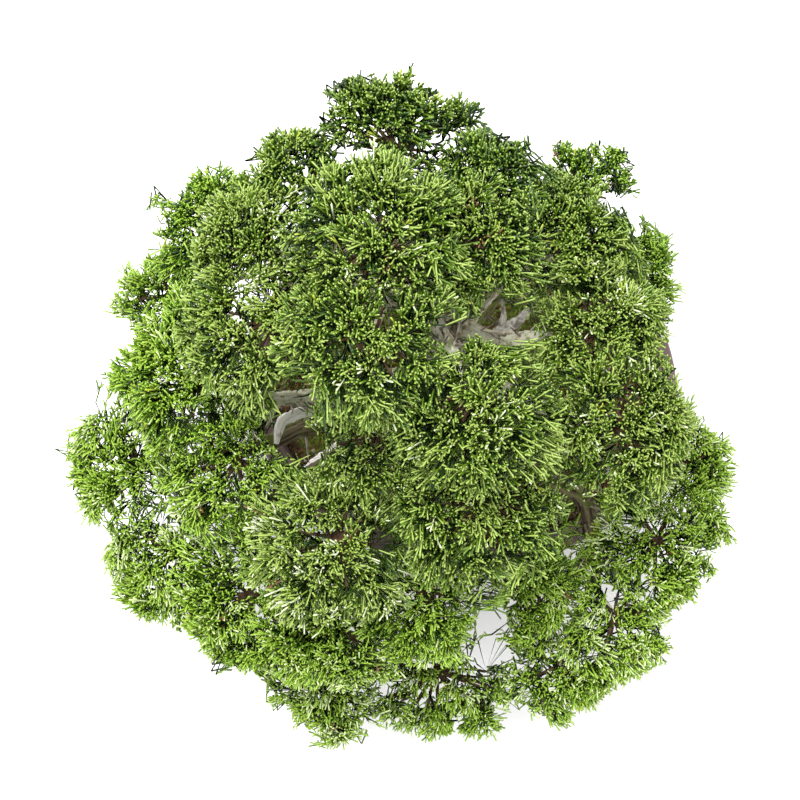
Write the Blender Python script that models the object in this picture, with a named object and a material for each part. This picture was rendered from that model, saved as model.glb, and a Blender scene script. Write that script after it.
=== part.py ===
"""Chinese juniper bonsai in an oval unglazed pot, built in Blender 4.5.

A flared trunk leans and turns up out of the soil. Tapering boughs leave it tier by tier, and each
ends where it enters a clipped, cloud-like mass of foliage: a low domed core with forked sprays
fused on it, on one stem. Bleached dead wood stands on the trunk, on its foot and on a bough.
Metres, +Z up. The origin is the centre of the pot's flat underside, and +X runs along the pot.
"""
import math
import random

import bmesh
import bpy
from mathutils import Vector
from mathutils.geometry import delaunay_2d_cdt

MM = 0.001
INSIDE_TRIANGLES = 1  # delaunay_2d_cdt: only the triangles within the given face
CLEAR = 0.3 * MM  # gap left between two pieces that touch
CUTTER_SWELL = 1.2 * CLEAR  # gap at a faceted limb's corners that leaves CLEAR at its flats

# Oval pot: a solid foot, a bellied wall and a flat lip that stands out all round.
POT_LENGTH = 313 * MM
POT_WIDTH = 264 * MM
POT_HEIGHT = 68 * MM
LIP_WIDTH = 14.5 * MM
LIP_DEPTH = 7 * MM
LIP_OVERHANG = 6.5 * MM
FOOT_INSET = 30 * MM
FOOT_HEIGHT = 6 * MM
BELLY_INSET = 22 * MM  # the wall's inset from the lip just above the foot
WALL_FOOT_INSET = 34 * MM  # the inner wall's inset at the floor
FLOOR_HEIGHT = 11 * MM
POT_SIDES = 32

# Soil: level where the trunk stands, falling a little to the wall.
SOIL_TOP = 67 * MM
SOIL_EDGE = 62 * MM
SOIL_LEVEL_SHARE = 0.88  # share of the soil's half-width that is level
SOIL_POINT_SPACING = 11 * MM
SOIL_MARGIN_SHARE = 0.94  # how far out towards the level part's edge those points go
# Moss cushions on the soil, clear of the roots, as (x, y, radius, rise) in millimetres.
MOSS_CUSHIONS = (
    (28, -72, 18, 2.6),
    (56, -64, 17, 3.0),
    (28, -38, 18, 3.2),
    (60, -32, 20, 2.8),
    (90, -26, 17, 2.4),
    (-98, -14, 15, 2.8),
    (10, -4, 16, 2.4),
    (40, -2, 19, 3.3),
    (74, 2, 20, 2.9),
    (101, 6, 15, 2.2),
    (-86, 22, 19, 3.1),
    (-52, 28, 18, 2.7),
    (-18, 28, 19, 3.4),
    (16, 28, 19, 2.8),
    (50, 31, 19, 3.2),
    (84, 30, 18, 2.6),
    (-62, 56, 18, 2.5),
    (-30, 60, 19, 3.2),
    (4, 60, 18, 2.9),
    (36, 62, 19, 2.6),
    (66, 55, 16, 2.9),
    (-12, 84, 15, 2.4),
)

# Trunk axis from the soil to the fork under the top masses, as (x, y, z, radius) in millimetres.
TRUNK_COURSE = (
    (-40, -44, 67, 25.0),
    (-44, -38, 85, 22.5),
    (-40, -23, 110, 20.5),
    (-28, 0, 145, 18.5),
    (-17, 22, 180, 16.0),
    (-16, 40, 215, 13.5),
    (-29, 50, 250, 11.0),
    (-45, 47, 285, 8.5),
    (-57, 46, 314, 6.0),
)
# Roots that flare from the foot, as (bearing in degrees, reach in mm, half-width in degrees).
ROOT_FLARE = (
    (197, 48, 17),
    (268, 40, 16),
    (325, 38, 15),
    (20, 44, 17),
    (82, 38, 16),
    (140, 37, 15),
)
FLARE_HEIGHT = 24 * MM
FLARE_CURVE = 1.6  # over 1 the flare sweeps out, hollow, towards the soil
FLUTE_DEPTH = 0.06  # the trunk's flutes, as a share of its radius
FLUTE_PITCH = 40 * MM  # height in which the flutes turn by a third of a radian
TRUNK_SIDES = 24
TRUNK_RINGS = 18

# Boughs: the limb each leaves, where (mm up the trunk, or a share along a bough), its radius in mm
# at both ends, the mass it ends at, and the bends (mm) that set its course, where it has its own.
BOUGHS = {
    "bough_top_right": ("trunk", 262, (6.0, 3.2), "mass_top_right", ()),
    "bough_top_back": ("trunk", 268, (6.0, 3.0), "mass_upper_back_right", ()),
    "bough_back": ("trunk", 236, (6.5, 3.2), "mass_upper_back", ()),
    "bough_left_high": ("trunk", 214, (6.5, 3.2), "mass_upper_left_back", ()),
    "bough_left_back": ("trunk", 182, (6.8, 3.2), "mass_middle_back_left", ()),
    "bough_right_back": (
        "trunk", 180, (6.5, 3.2), "mass_upper_right_back",
        ((8, 64, 188), (36, 84, 216)),
    ),
    "bough_right_high": (
        "trunk", 212, (6.2, 3.2), "mass_upper_right",
        ((12, 30, 228), (42, 34, 252)),
    ),
    "bough_right": (
        "trunk", 190, (7.0, 3.4), "mass_upper_right_front",
        ((16, 2, 212), (52, -12, 250)),
    ),
    "bough_front_high": (
        "trunk", 232, (6.2, 3.2), "mass_upper_front",
        ((-14, 14, 250), (-8, -22, 272)),
    ),
    "bough_front_left": (
        "trunk", 168, (7.0, 3.2), "mass_upper_front_left",
        ((-44, -22, 205), (-58, -60, 240)),
    ),
    "bough_front_middle": (
        "trunk", 158, (6.8, 3.2), "mass_middle_front_right",
        ((-20, -40, 176), (-18, -84, 202)),
    ),
    "bough_left_middle": (
        "trunk", 150, (8.0, 3.6), "mass_middle_left",
        ((-64, -6, 149), (-95, -17, 152), (-128, -22, 182)),
    ),
    "bough_left_low": (
        "trunk", 118, (8.5, 3.4), "mass_lower_left",
        ((-74, -26, 122), (-105, -38, 132), (-136, -56, 146), (-176, -68, 158)),
    ),
    "bough_left_front": (
        "trunk", 104, (7.5, 3.2), "mass_lower_left_front",
        ((-92, -66, 116), (-132, -98, 138)),
    ),
    "bough_front": (
        "trunk", 138, (7.2, 3.2), "mass_middle_front",
        ((-50, -50, 152), (-64, -104, 184)),
    ),
    "bough_front_low_left": (
        "trunk", 98, (7.0, 3.0), "mass_lower_front_left",
        ((-60, -90, 112), (-72, -150, 138)),
    ),
    "bough_front_low": (
        "trunk", 106, (7.2, 3.0), "mass_lower_front",
        ((-28, -76, 118), (-10, -140, 132)),
    ),
    "bough_back_right_low": (
        "trunk", 150, (7.0, 3.0), "mass_lower_back_right",
        ((0, 44, 148), (30, 90, 150)),
    ),
    "bough_right_low": (
        "trunk", 126, (7.5, 3.2), "mass_lower_far_right",
        ((2, -22, 138), (62, -30, 152), (112, -34, 170)),
    ),
    "bough_right_front": (
        "trunk", 136, (8.0, 3.2), "mass_lower_inner_front",
        ((8, -32, 164), (53, -54, 177), (82, -64, 173), (90, -80, 170),
         (95, -92, 168), (91, -108, 169), (85, -120, 171)),
    ),
    "bough_right_fork": (
        "bough_right_front", 0.74, (4.6, 3.0), "mass_lower_right_front",
        ((99, -106, 166), (98, -124, 166)),
    ),
}

# Masses: centre (mm), half-length along X and Y (mm), the limb that carries the stem and where it
# leaves that limb (a share along it), and the core's share of the mass.
DENSE = 0.80
AIRY = 0.62
MASSES = {
    "mass_top_back": ((-67, 71, 345), (44, 42), "trunk", 0.93, DENSE),
    "mass_top_front": ((-64, 16, 352), (43, 41), "trunk", 1.0, DENSE),
    "mass_top_right": ((-1, -14, 335), (42, 42), "bough_top_right", 1.0, DENSE),
    "mass_top_back_right": ((-8, 79, 315), (35, 35), "bough_top_back", 0.62, DENSE),
    "mass_upper_back": ((-65, 144, 280), (50, 43), "bough_back", 1.0, DENSE),
    "mass_upper_back_right": ((-8, 125, 285), (34, 34), "bough_top_back", 1.0, DENSE),
    "mass_upper_back_left": ((-117, 113, 272), (37, 37), "bough_back", 0.55, DENSE),
    "mass_upper_left_back": ((-140, 69, 290), (38, 37), "bough_left_high", 1.0, DENSE),
    "mass_upper_left": ((-129, 19, 296), (42, 41), "bough_left_high", 0.80, DENSE),
    "mass_upper_right_back": ((52, 97, 262), (42, 40), "bough_right_back", 1.0, DENSE),
    "mass_upper_right": ((74, 43, 282), (42, 38), "bough_right_high", 1.0, DENSE),
    "mass_upper_right_front": ((91, -17, 290), (48, 45), "bough_right", 1.0, DENSE),
    "mass_upper_front": ((10, -75, 298), (46, 42), "bough_front_high", 1.0, DENSE),
    "mass_upper_front_left": ((-73, -107, 280), (44, 44), "bough_front_left", 1.0, DENSE),
    "mass_upper_inner_front": ((-60, -39, 292), (39, 36), "bough_front_high", 0.50, DENSE),
    "mass_middle_back_left": ((-183, 83, 235), (34, 34), "bough_left_back", 1.0, DENSE),
    "mass_middle_left": ((-178, -15, 245), (49, 45), "bough_left_middle", 1.0, DENSE),
    "mass_middle_left_front": ((-145, -68, 225), (45, 42), "bough_left_middle", 0.66, DENSE),
    "mass_middle_front_right": ((-19, -134, 238), (46, 42), "bough_front_middle", 1.0, DENSE),
    "mass_middle_front": ((-75, -165, 226), (45, 44), "bough_front", 1.0, DENSE),
    "mass_middle_front_left": ((-128, -156, 204), (45, 50), "bough_left_front", 0.72, DENSE),
    "mass_lower_back_right": ((62, 142, 170), (40, 34), "bough_back_right_low", 1.0, AIRY),
    "mass_lower_right_back": ((107, 78, 182), (28, 50), "bough_back_right_low", 0.66, DENSE),
    "mass_lower_back_left": ((-205, 35, 195), (38, 32), "bough_left_back", 0.80, AIRY),
    "mass_lower_left": ((-221, -78, 178), (43, 43), "bough_left_low", 1.0, DENSE),
    "mass_lower_left_front": ((-184, -137, 172), (47, 45), "bough_left_front", 1.0, DENSE),
    "mass_lower_front_left": ((-72, -214, 165), (40, 39), "bough_front_low_left", 1.0, DENSE),
    "mass_lower_front": ((2, -204, 150), (60, 43), "bough_front_low", 1.0, AIRY),
    "mass_lower_front_right": ((79, -188, 165), (40, 38), "bough_right_fork", 0.78, DENSE),
    "mass_lower_right_front": ((117, -147, 185), (38, 44), "bough_right_fork", 1.0, DENSE),
    "mass_lower_inner_front": ((54, -132, 192), (31, 35), "bough_right_front", 1.0, DENSE),
    "mass_lower_right": ((139, -95, 190), (45, 45), "bough_right_low", 0.72, DENSE),
    "mass_lower_far_right": ((150, -37, 200), (31, 34), "bough_right_low", 1.0, DENSE),
}
MASS_FLATNESS = 0.60  # a mass's half-height over its mean half-length
UNDERSIDE = -0.45  # the core is cut level this far down, as a share of its half-height
CORE_UNEVENNESS = 0.07
CORE_LEAST = 6 * MM  # a core's corner is drawn in no nearer its centre than this
STEM_RADII = (2.8 * MM, 1.8 * MM)
SHORT_STEM = 6 * MM  # a stem shorter than this outside its mass runs straight
ENTRY_SLOPE = 0.62  # least drop over run of the line from a mass's centre to its limb
CORE_SIDES = 10
CORE_TIERS = 5

# Sprays: forked blades that stand out of a core as far as the mass's outline.
SPRAYS_PER_AREA = 8 / (36 * 36)  # for each square millimetre of half-length squared
SPRAY_WIDTH = 9 * MM
SPRAY_THICKNESS = 2.4 * MM
SPRAY_FORK_DEPTH = 8 * MM
SPRAY_ROOT_DEPTH = 0.55  # where a spray's root lies in the core, as a share of its half-size
SPRAY_SPAN = 1.3  # how far down from its top a mass bears sprays, over its half-height
SPRAY_CROWDING = 0.62  # under 1 crowds the sprays towards the mass's edge
LIMB_MARGIN = 1.2 * MM
CELL_MARGIN = 0.07

# Gaps in the crown: leaning shafts kept free of foliage, each by its centre (x, y) in mm at the
# low height and at the high height, and its radius in mm.
GAP_LOW = 150 * MM
GAP_HIGH = 350 * MM
GAPS = (
    ((-116, -23), (-103, -21), 12),
    ((-104, -53), (-93, -46), 13),
    ((21, 46), (10, 36), 18),
    ((-14, 37), (-19, 28), 10),
    ((87, -77), (64, -66), 12),
    ((95, -110), (71, -93), 10),
    ((37, -154), (23, -130), 12),
    ((29, -135), (16, -114), 7),
    ((-44, -110), (-44, -93), 8),
    ((109, -132), (82, -111), 6),
)

# Dead wood: the limb it stands on, where, and its branches as courses of (x, y, z, radius) in mm.
DEADWOOD = {
    "deadwood_foot": ("trunk", (
        ((-58, -52, 86, 12.5), (-78, -58, 88, 11.5), (-92, -66, 88, 9.0),
         (-105, -74, 87, 5.5), (-119, -81, 84, 1.0)),
    )),
    "deadwood_left": ("bough_left_middle", (
        ((-88, -17, 151, 4.6), (-100, -27, 152, 4.2), (-112, -31, 158, 3.8),
         (-121, -38, 162, 3.4), (-123, -52, 166, 1.6)),
    )),
    "deadwood_right": ("trunk", (
        ((-16, 28, 186, 5.0), (2, 25, 191, 4.4), (16, 37, 200, 3.6),
         (27, 45, 205, 3.0), (36, 54, 210, 2.4), (48, 50, 216, 0.9)),
        ((16, 37, 200, 2.4), (17, 47, 202, 2.0), (15, 58, 203, 0.8)),
        ((14, 35, 199, 2.4), (24, 33, 203, 1.9), (33, 35, 208, 0.8)),
    )),
}

COLOURS = {
    "pot": ("Unglazed stoneware", (0.165, 0.108, 0.104), 0.75),
    "soil": ("Mossy soil", (0.060, 0.048, 0.026), 0.95),
    "trunk": ("Juniper bark", (0.190, 0.150, 0.115), 0.90),
    "bough": ("Bough bark", (0.150, 0.105, 0.075), 0.90),
    "deadwood": ("Bleached dead wood", (0.720, 0.690, 0.620), 0.80),
    "mass": ("Juniper foliage", (0.090, 0.200, 0.030), 0.70),
}


def material_for(kind):
    """The Principled material of a kind of piece, made once."""
    name, colour, roughness = COLOURS[kind]
    material = bpy.data.materials.get(name)
    if material is None:
        material = bpy.data.materials.new(name)
        material.use_nodes = True
        shader = material.node_tree.nodes["Principled BSDF"]
        shader.inputs["Base Color"].default_value = (*colour, 1.0)
        shader.inputs["Roughness"].default_value = roughness
        shader.inputs["Metallic"].default_value = 0.0
    return material


def new_object(name, mesh, kind, collection):
    """A mesh object with its kind's material, linked to a collection."""
    mesh.materials.clear()
    mesh.materials.append(material_for(kind))
    obj = bpy.data.objects.new(name, mesh)
    collection.objects.link(obj)
    return obj


def mesh_from(name, bm):
    """Turn a finished bmesh into a mesh, with its faces pointing out."""
    bmesh.ops.recalc_face_normals(bm, faces=bm.faces)
    mesh = bpy.data.meshes.new(name)
    bm.to_mesh(mesh)
    bm.free()
    return mesh


def applied(obj):
    """A new mesh of an object as its curve or its modifiers make it."""
    bpy.context.view_layer.update()
    return bpy.data.meshes.new_from_object(obj.evaluated_get(bpy.context.evaluated_depsgraph_get()))


def millimetres(*values):
    return Vector(values) * MM


def smooth_course(points, count):
    """Evenly spaced samples of a Catmull-Rom curve through points of any dimension."""
    knots = [2 * points[0] - points[1], *points, 2 * points[-1] - points[-2]]
    fine = []
    steps = 12
    for k in range(1, len(knots) - 2):
        before, start, end, after = knots[k - 1:k + 3]
        for step in range(steps):
            t = step / steps
            fine.append(0.5 * (2 * start + (end - before) * t
                               + (2 * before - 5 * start + 4 * end - after) * t * t
                               + (3 * start - before - 3 * end + after) * t ** 3))
    fine.append(points[-1].copy())
    reach = [0.0]
    for a, b in zip(fine, fine[1:]):
        reach.append(reach[-1] + (b - a).length)
    samples = []
    place = 0
    for k in range(count):
        wanted = reach[-1] * k / (count - 1)
        while place < len(fine) - 2 and reach[place + 1] < wanted:
            place += 1
        share = (wanted - reach[place]) / (reach[place + 1] - reach[place])
        samples.append(fine[place].lerp(fine[place + 1], share))
    return samples


def at_share(course, share):
    """The point (x, y, z, radius) a share of the way along a course of even samples."""
    place = share * (len(course) - 1)
    low = min(int(place), len(course) - 2)
    return course[low].lerp(course[low + 1], place - low)


def lofted(name, rings, lid=None):
    """A closed mesh through rings of equal point counts, capped at both ends. A lid is a cap of
    triangles over the last ring's points and some more within it."""
    bm = bmesh.new()
    rows = [[bm.verts.new(point) for point in ring] for ring in rings]
    sides = len(rows[0])
    for low, high in zip(rows, rows[1:]):
        for k in range(sides):
            after = (k + 1) % sides
            bm.faces.new((low[k], low[after], high[after]))
            bm.faces.new((low[k], high[after], high[k]))
    bm.faces.new(rows[0])
    if lid is None:
        bm.faces.new(rows[-1])
    else:
        inner, triangles = lid
        points = rows[-1] + [bm.verts.new(point) for point in inner]
        for triangle in triangles:
            bm.faces.new([points[k] for k in triangle])
    return mesh_from(name, bm)


def tube(name, course, kind, collection, swell=0.0, resolution=1):
    """A tapering limb: a curve with a bevel through (x, y, z, radius), made a welded mesh."""
    curve = bpy.data.curves.new(name, "CURVE")
    curve.dimensions = "3D"
    curve.bevel_depth = 1.0
    curve.bevel_resolution = resolution
    curve.use_fill_caps = True
    spline = curve.splines.new("POLY")
    spline.points.add(len(course) - 1)
    for point, sample in zip(spline.points, course):
        point.co = (*sample[:3], 1.0)
        point.radius = sample[3] + swell
    shape = bpy.data.objects.new(name, curve)
    collection.objects.link(shape)
    mesh = applied(shape)
    bpy.data.objects.remove(shape)
    bm = bmesh.new()
    bm.from_mesh(mesh)
    bmesh.ops.remove_doubles(bm, verts=bm.verts, dist=0.001 * MM)
    bpy.data.meshes.remove(mesh)
    return new_object(name, mesh_from(name, bm), kind, collection)


def drop_scraps(mesh):
    """Keep the largest closed shell of a fused mesh: loose scraps and sealed hollows go."""
    bm = bmesh.new()
    bm.from_mesh(mesh)
    left = set(bm.faces)
    shells = []
    while left:
        front = [left.pop()]
        shell = []
        while front:
            face = front.pop()
            shell.append(face)
            for edge in face.edges:
                for other in edge.link_faces:
                    if other in left:
                        left.remove(other)
                        front.append(other)
        shells.append(shell)
    shells.sort(key=lambda shell: sum(face.calc_area() for face in shell))
    scraps = [face for shell in shells[:-1] for face in shell]
    bmesh.ops.delete(bm, geom=scraps, context="FACES")
    bm.to_mesh(mesh)
    bm.free()


def combine(body, operation, pieces):
    """One Boolean of a body with a collection of pieces, applied, and the pieces removed."""
    boolean = body.modifiers.new(operation.lower(), "BOOLEAN")
    boolean.operation = operation
    boolean.operand_type = "COLLECTION"
    boolean.collection = pieces
    boolean.solver = "MANIFOLD"
    mesh = applied(body)
    body.modifiers.clear()
    body.data = mesh
    drop_scraps(mesh)
    for piece in list(pieces.objects):
        bpy.data.objects.remove(piece)


def oval(half_length, half_width, height):
    """One ring of the pot: an ellipse at a height."""
    turns = [2 * math.pi * k / POT_SIDES for k in range(POT_SIDES)]
    return [Vector((half_length * math.cos(a), half_width * math.sin(a), height)) for a in turns]


def inset_oval(inset, height):
    return oval(POT_LENGTH / 2 - inset, POT_WIDTH / 2 - inset, height)


def inner_wall_inset(height):
    """The pot's inner wall runs straight from the lip down to the floor."""
    share = (POT_HEIGHT - height) / (POT_HEIGHT - FLOOR_HEIGHT)
    return LIP_WIDTH + share * (WALL_FOOT_INSET - LIP_WIDTH)


def build_pot(collection):
    lip_bottom = POT_HEIGHT - LIP_DEPTH
    round_over = 1.2 * MM
    profile = [(FOOT_INSET, 0.0), (FOOT_INSET - round_over, FOOT_HEIGHT)]
    belly_steps = 5
    for k in range(belly_steps + 1):
        angle = math.pi / 2 * k / belly_steps
        inset = LIP_OVERHANG + (BELLY_INSET - LIP_OVERHANG) * (1 - math.sin(angle))
        height = FOOT_HEIGHT + (lip_bottom - FOOT_HEIGHT) * (1 - math.cos(angle))
        profile.append((inset, height))
    profile += [
        (round_over, lip_bottom),
        (0.0, lip_bottom + round_over),
        (0.0, POT_HEIGHT - round_over),
        (round_over, POT_HEIGHT),
        (LIP_WIDTH, POT_HEIGHT),
        (inner_wall_inset(FLOOR_HEIGHT), FLOOR_HEIGHT),
    ]
    rings = [inset_oval(inset, height) for inset, height in profile]
    return new_object("pot", lofted("pot", rings), "pot", collection)


def soil_height(x, y):
    """The soil's level part, where each cushion rises by rise * (1 - (distance / radius)^2)^2."""
    rise = 0.0
    for middle_x, middle_y, radius, crest in MOSS_CUSHIONS:
        off = math.hypot(x - middle_x * MM, y - middle_y * MM) / (radius * MM)
        rise = max(rise, crest * MM * max(0.0, 1.0 - off * off) ** 2)
    return SOIL_TOP + rise


def cushioned_lid(outline, half_length, half_width):
    """Points in staggered rows within an oval outline, at the soil's height, and the triangles
    that join them to each other and to the outline."""
    row_gap = SOIL_POINT_SPACING * math.sqrt(3) / 2
    rows = math.ceil(half_width / row_gap)
    columns = math.ceil(half_length / SOIL_POINT_SPACING) + 1
    flat = [point.xy for point in outline]
    for row in range(-rows, rows + 1):
        for column in range(-columns, columns + 1):
            x = (column + 0.5 * (row % 2)) * SOIL_POINT_SPACING
            y = row * row_gap
            if math.hypot(x / half_length, y / half_width) < SOIL_MARGIN_SHARE:
                flat.append(Vector((x, y)))
    edge = [list(range(len(outline)))]
    points, _, triangles, sources, _, _ = delaunay_2d_cdt(flat, [], edge, INSIDE_TRIANGLES, CLEAR)
    source = [origin[0] for origin in sources]
    inner = [Vector((point.x, point.y, soil_height(point.x, point.y))) for point in flat[len(outline):]]
    return inner, [[source[k] for k in triangle] for triangle in triangles]


def build_soil(collection):
    bottom = FLOOR_HEIGHT + CLEAR
    gap = 1.3 * CLEAR  # level gap that leaves CLEAR square to the sloping wall
    edge_inset = inner_wall_inset(SOIL_EDGE) + gap
    level_length = SOIL_LEVEL_SHARE * (POT_LENGTH / 2 - edge_inset)
    level_width = SOIL_LEVEL_SHARE * (POT_WIDTH / 2 - edge_inset)
    rings = [
        inset_oval(inner_wall_inset(bottom) + gap, bottom),
        inset_oval(edge_inset, SOIL_EDGE),
        oval(level_length, level_width, SOIL_TOP),
    ]
    lid = cushioned_lid(rings[-1], level_length, level_width)
    return new_object("soil", lofted("soil", rings, lid), "soil", collection)


def flare_reach(angle, radius, height):
    """The trunk's radius at an angle: round, a little fluted, with roots that flare at the foot."""
    share = max(0.0, 1.0 - height / FLARE_HEIGHT)
    turning = 3 * angle + height / FLUTE_PITCH
    reach = radius * (1 + FLUTE_DEPTH * (math.cos(turning) + 0.6 * math.cos(5 * angle + 1.3)))
    for bearing, root_reach, half_width in ROOT_FLARE:
        off = math.remainder(angle - math.radians(bearing), 2 * math.pi) / math.radians(half_width)
        reach += (root_reach * MM - radius) * math.exp(-off * off) * share ** FLARE_CURVE
    return reach


def trunk_mesh(name, course, swell=0.0):
    """Loft the trunk's sections, level at the cut and square to the axis above the flare."""
    rings = []
    foot = course[0].z
    for k, sample in enumerate(course):
        after = course[min(k + 1, len(course) - 1)]
        before = course[max(k - 1, 0)]
        height = sample.z - foot
        lean = min(1.0, height / FLARE_HEIGHT)
        axis = Vector((0, 0, 1)).lerp((after - before).to_3d().normalized(), lean).normalized()
        across = Vector((1, 0, 0)) - axis * axis.x
        across.normalize()
        along = axis.cross(across)
        ring = []
        for side in range(TRUNK_SIDES):
            angle = 2 * math.pi * side / TRUNK_SIDES
            reach = flare_reach(angle, sample.w, height) + swell
            way = math.cos(angle) * across + math.sin(angle) * along
            ring.append(sample.to_3d() + reach * way)
        rings.append(ring)
    return lofted(name, rings)


def mass_half_size(name):
    half_x, half_y = MASSES[name][1]
    return millimetres(half_x, half_y, MASS_FLATNESS * (half_x + half_y) / 2)


def scaled_distance(point, name):
    """How far out a point is in a mass's space: 1 on its outline."""
    centre = millimetres(*MASSES[name][0])
    size = mass_half_size(name)
    offset = point - centre
    return Vector((offset.x / size.x, offset.y / size.y, offset.z / size.z)).length


def entry_point(name, origin, depth):
    """Where a limb that comes from origin meets a mass, low on its inner side."""
    centre = millimetres(*MASSES[name][0])
    size = mass_half_size(name)
    towards = Vector(((origin.x - centre.x) / size.x, (origin.y - centre.y) / size.y, 0.0))
    towards.z = -max((centre.z - origin.z) / size.z, ENTRY_SLOPE * towards.length)
    towards.normalize()
    return centre + depth * Vector((towards.x * size.x, towards.y * size.y, towards.z * size.z))


def bough_course(name, limbs):
    """Samples of (x, y, z, radius) along a bough, from its parent's axis to its mass."""
    parent, place, (root_radius, tip_radius), mass, bends = BOUGHS[name]
    if parent == "trunk":
        root = min(limbs["trunk"], key=lambda sample: abs(sample.z - place * MM)).to_3d()
        root.z = place * MM
    else:
        root = at_share(limbs[parent], place).to_3d()
    if bends:
        middle = [millimetres(*bend) for bend in bends]
        tip = entry_point(mass, middle[-1], 1.0)
    else:
        rng = random.Random(name)
        tip = entry_point(mass, root, 1.0)
        span = tip - root
        sideways = Vector((-span.y, span.x, 0.0))
        middle = []
        for share, lift in ((0.34, 0.05), (0.68, -0.03)):
            bend = root + span * share + sideways * rng.uniform(-0.09, 0.09)
            bend.z += lift * span.length
            middle.append(bend)
    points = [root, *middle, tip]
    knots = []
    for k, point in enumerate(points):
        radius = root_radius + (tip_radius - root_radius) * k / (len(points) - 1)
        knots.append(Vector((*point, radius * MM)))
    return smooth_course(knots, 7 + len(bends))


def forked_blade(name, root, tip, spread, collection):
    """A spray: a flat blade that forks into two teeth, extruded to its thickness."""
    along = (tip - root).normalized()
    face = along.cross(spread).normalized()
    spread = face.cross(along)
    length = (tip - root).length
    half = SPRAY_WIDTH / 2
    outline = (
        (0.0, 0.0),
        (half, length - 0.2 * SPRAY_FORK_DEPTH),
        (0.1 * half, length - SPRAY_FORK_DEPTH),
        (-half, length),
    )
    bm = bmesh.new()
    back = root - face * SPRAY_THICKNESS / 2
    corners = [bm.verts.new(back + spread * x + along * y) for x, y in outline]
    blade = bm.faces.new(corners)
    lifted = bmesh.ops.extrude_face_region(bm, geom=[blade])["geom"]
    top = [part for part in lifted if isinstance(part, bmesh.types.BMVert)]
    bmesh.ops.translate(bm, verts=top, vec=face * SPRAY_THICKNESS)
    return new_object(name, mesh_from(name, bm), "mass", collection)


def in_own_space(probe, name, limbs, margin):
    """True where a point is nearer this mass than any other, clear of the gaps and the limbs."""
    own = scaled_distance(probe, name) + CELL_MARGIN
    if any(other != name and scaled_distance(probe, other) < own for other in MASSES):
        return False
    rise = (probe.z - GAP_LOW) / (GAP_HIGH - GAP_LOW)
    for low, high, radius in GAPS:
        axis = Vector(low).lerp(Vector(high), rise) * MM
        if (probe.to_2d() - axis).length < radius * MM:
            return False
    return all(nearest_on(course, probe) > margin for course in limbs.values())


def core_object(name, share, rng, limbs, collection):
    """The dense inside of a mass: a low uneven dome, level below, drawn in where its space ends."""
    size = mass_half_size(name) * share
    centre = millimetres(*MASSES[name][0])
    bm = bmesh.new()
    bmesh.ops.create_uvsphere(bm, u_segments=CORE_SIDES, v_segments=CORE_TIERS, radius=1.0)
    for vert in bm.verts:
        vert.co *= rng.uniform(1 - CORE_UNEVENNESS, 1 + CORE_UNEVENNESS)
        vert.co.z = max(vert.co.z, UNDERSIDE)
        reach = Vector((vert.co.x * size.x, vert.co.y * size.y, vert.co.z * size.z))
        while reach.length > CORE_LEAST and not in_own_space(centre + reach, name, limbs, LIMB_MARGIN):
            reach *= 0.94
        vert.co = centre + reach
    return new_object(name + "_core", mesh_from(name, bm), "mass", collection)


def spray_places(name, share, rng):
    """Roots and tips of a mass's sprays: a golden-angle spiral over the dome, a little uneven."""
    centre = millimetres(*MASSES[name][0])
    size = mass_half_size(name)
    half_x, half_y = MASSES[name][1]
    count = max(8, round(SPRAYS_PER_AREA * half_x * half_y))
    for k in range(count):
        rise = 1.0 - SPRAY_SPAN * ((k + 0.5) / count) ** SPRAY_CROWDING
        turn = k * math.pi * (3 - math.sqrt(5)) + rng.uniform(-0.3, 0.3)
        level = math.sqrt(1 - rise * rise)
        way = Vector((level * math.cos(turn), level * math.sin(turn), rise))
        outline = Vector((way.x * size.x, way.y * size.y, way.z * size.z))
        root = centre + SPRAY_ROOT_DEPTH * share * outline
        tip = centre + rng.uniform(0.94, 1.0) * outline
        spread = Vector((-math.sin(turn), math.cos(turn), 0.0))
        spread = spread.lerp(Vector((0, 0, 1)), rng.uniform(0.0, 0.35))
        yield root, tip, spread.normalized()


def nearest_on(course, point):
    """The gap from a point to the surface of a limb."""
    gap = 1.0
    for low, high in zip(course, course[1:]):
        step = high.to_3d() - low.to_3d()
        share = max(0.0, min(1.0, (point - low.to_3d()).dot(step) / step.length_squared))
        here = low.lerp(high, share)
        gap = min(gap, (point - here.to_3d()).length - here.w)
    return gap


def keeps_to_its_space(name, root, tip, spread, limbs):
    """False for a spray that would leave its mass's space or touch a limb."""
    half = SPRAY_WIDTH / 2
    along = (tip - root).normalized()
    probes = [root.lerp(tip, share) for share in (0.4, 0.7, 1.0)]
    probes += [tip + spread * half, tip - spread * half, tip - along * half + spread * half]
    return all(in_own_space(probe, name, limbs, LIMB_MARGIN + SPRAY_THICKNESS) for probe in probes)


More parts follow.
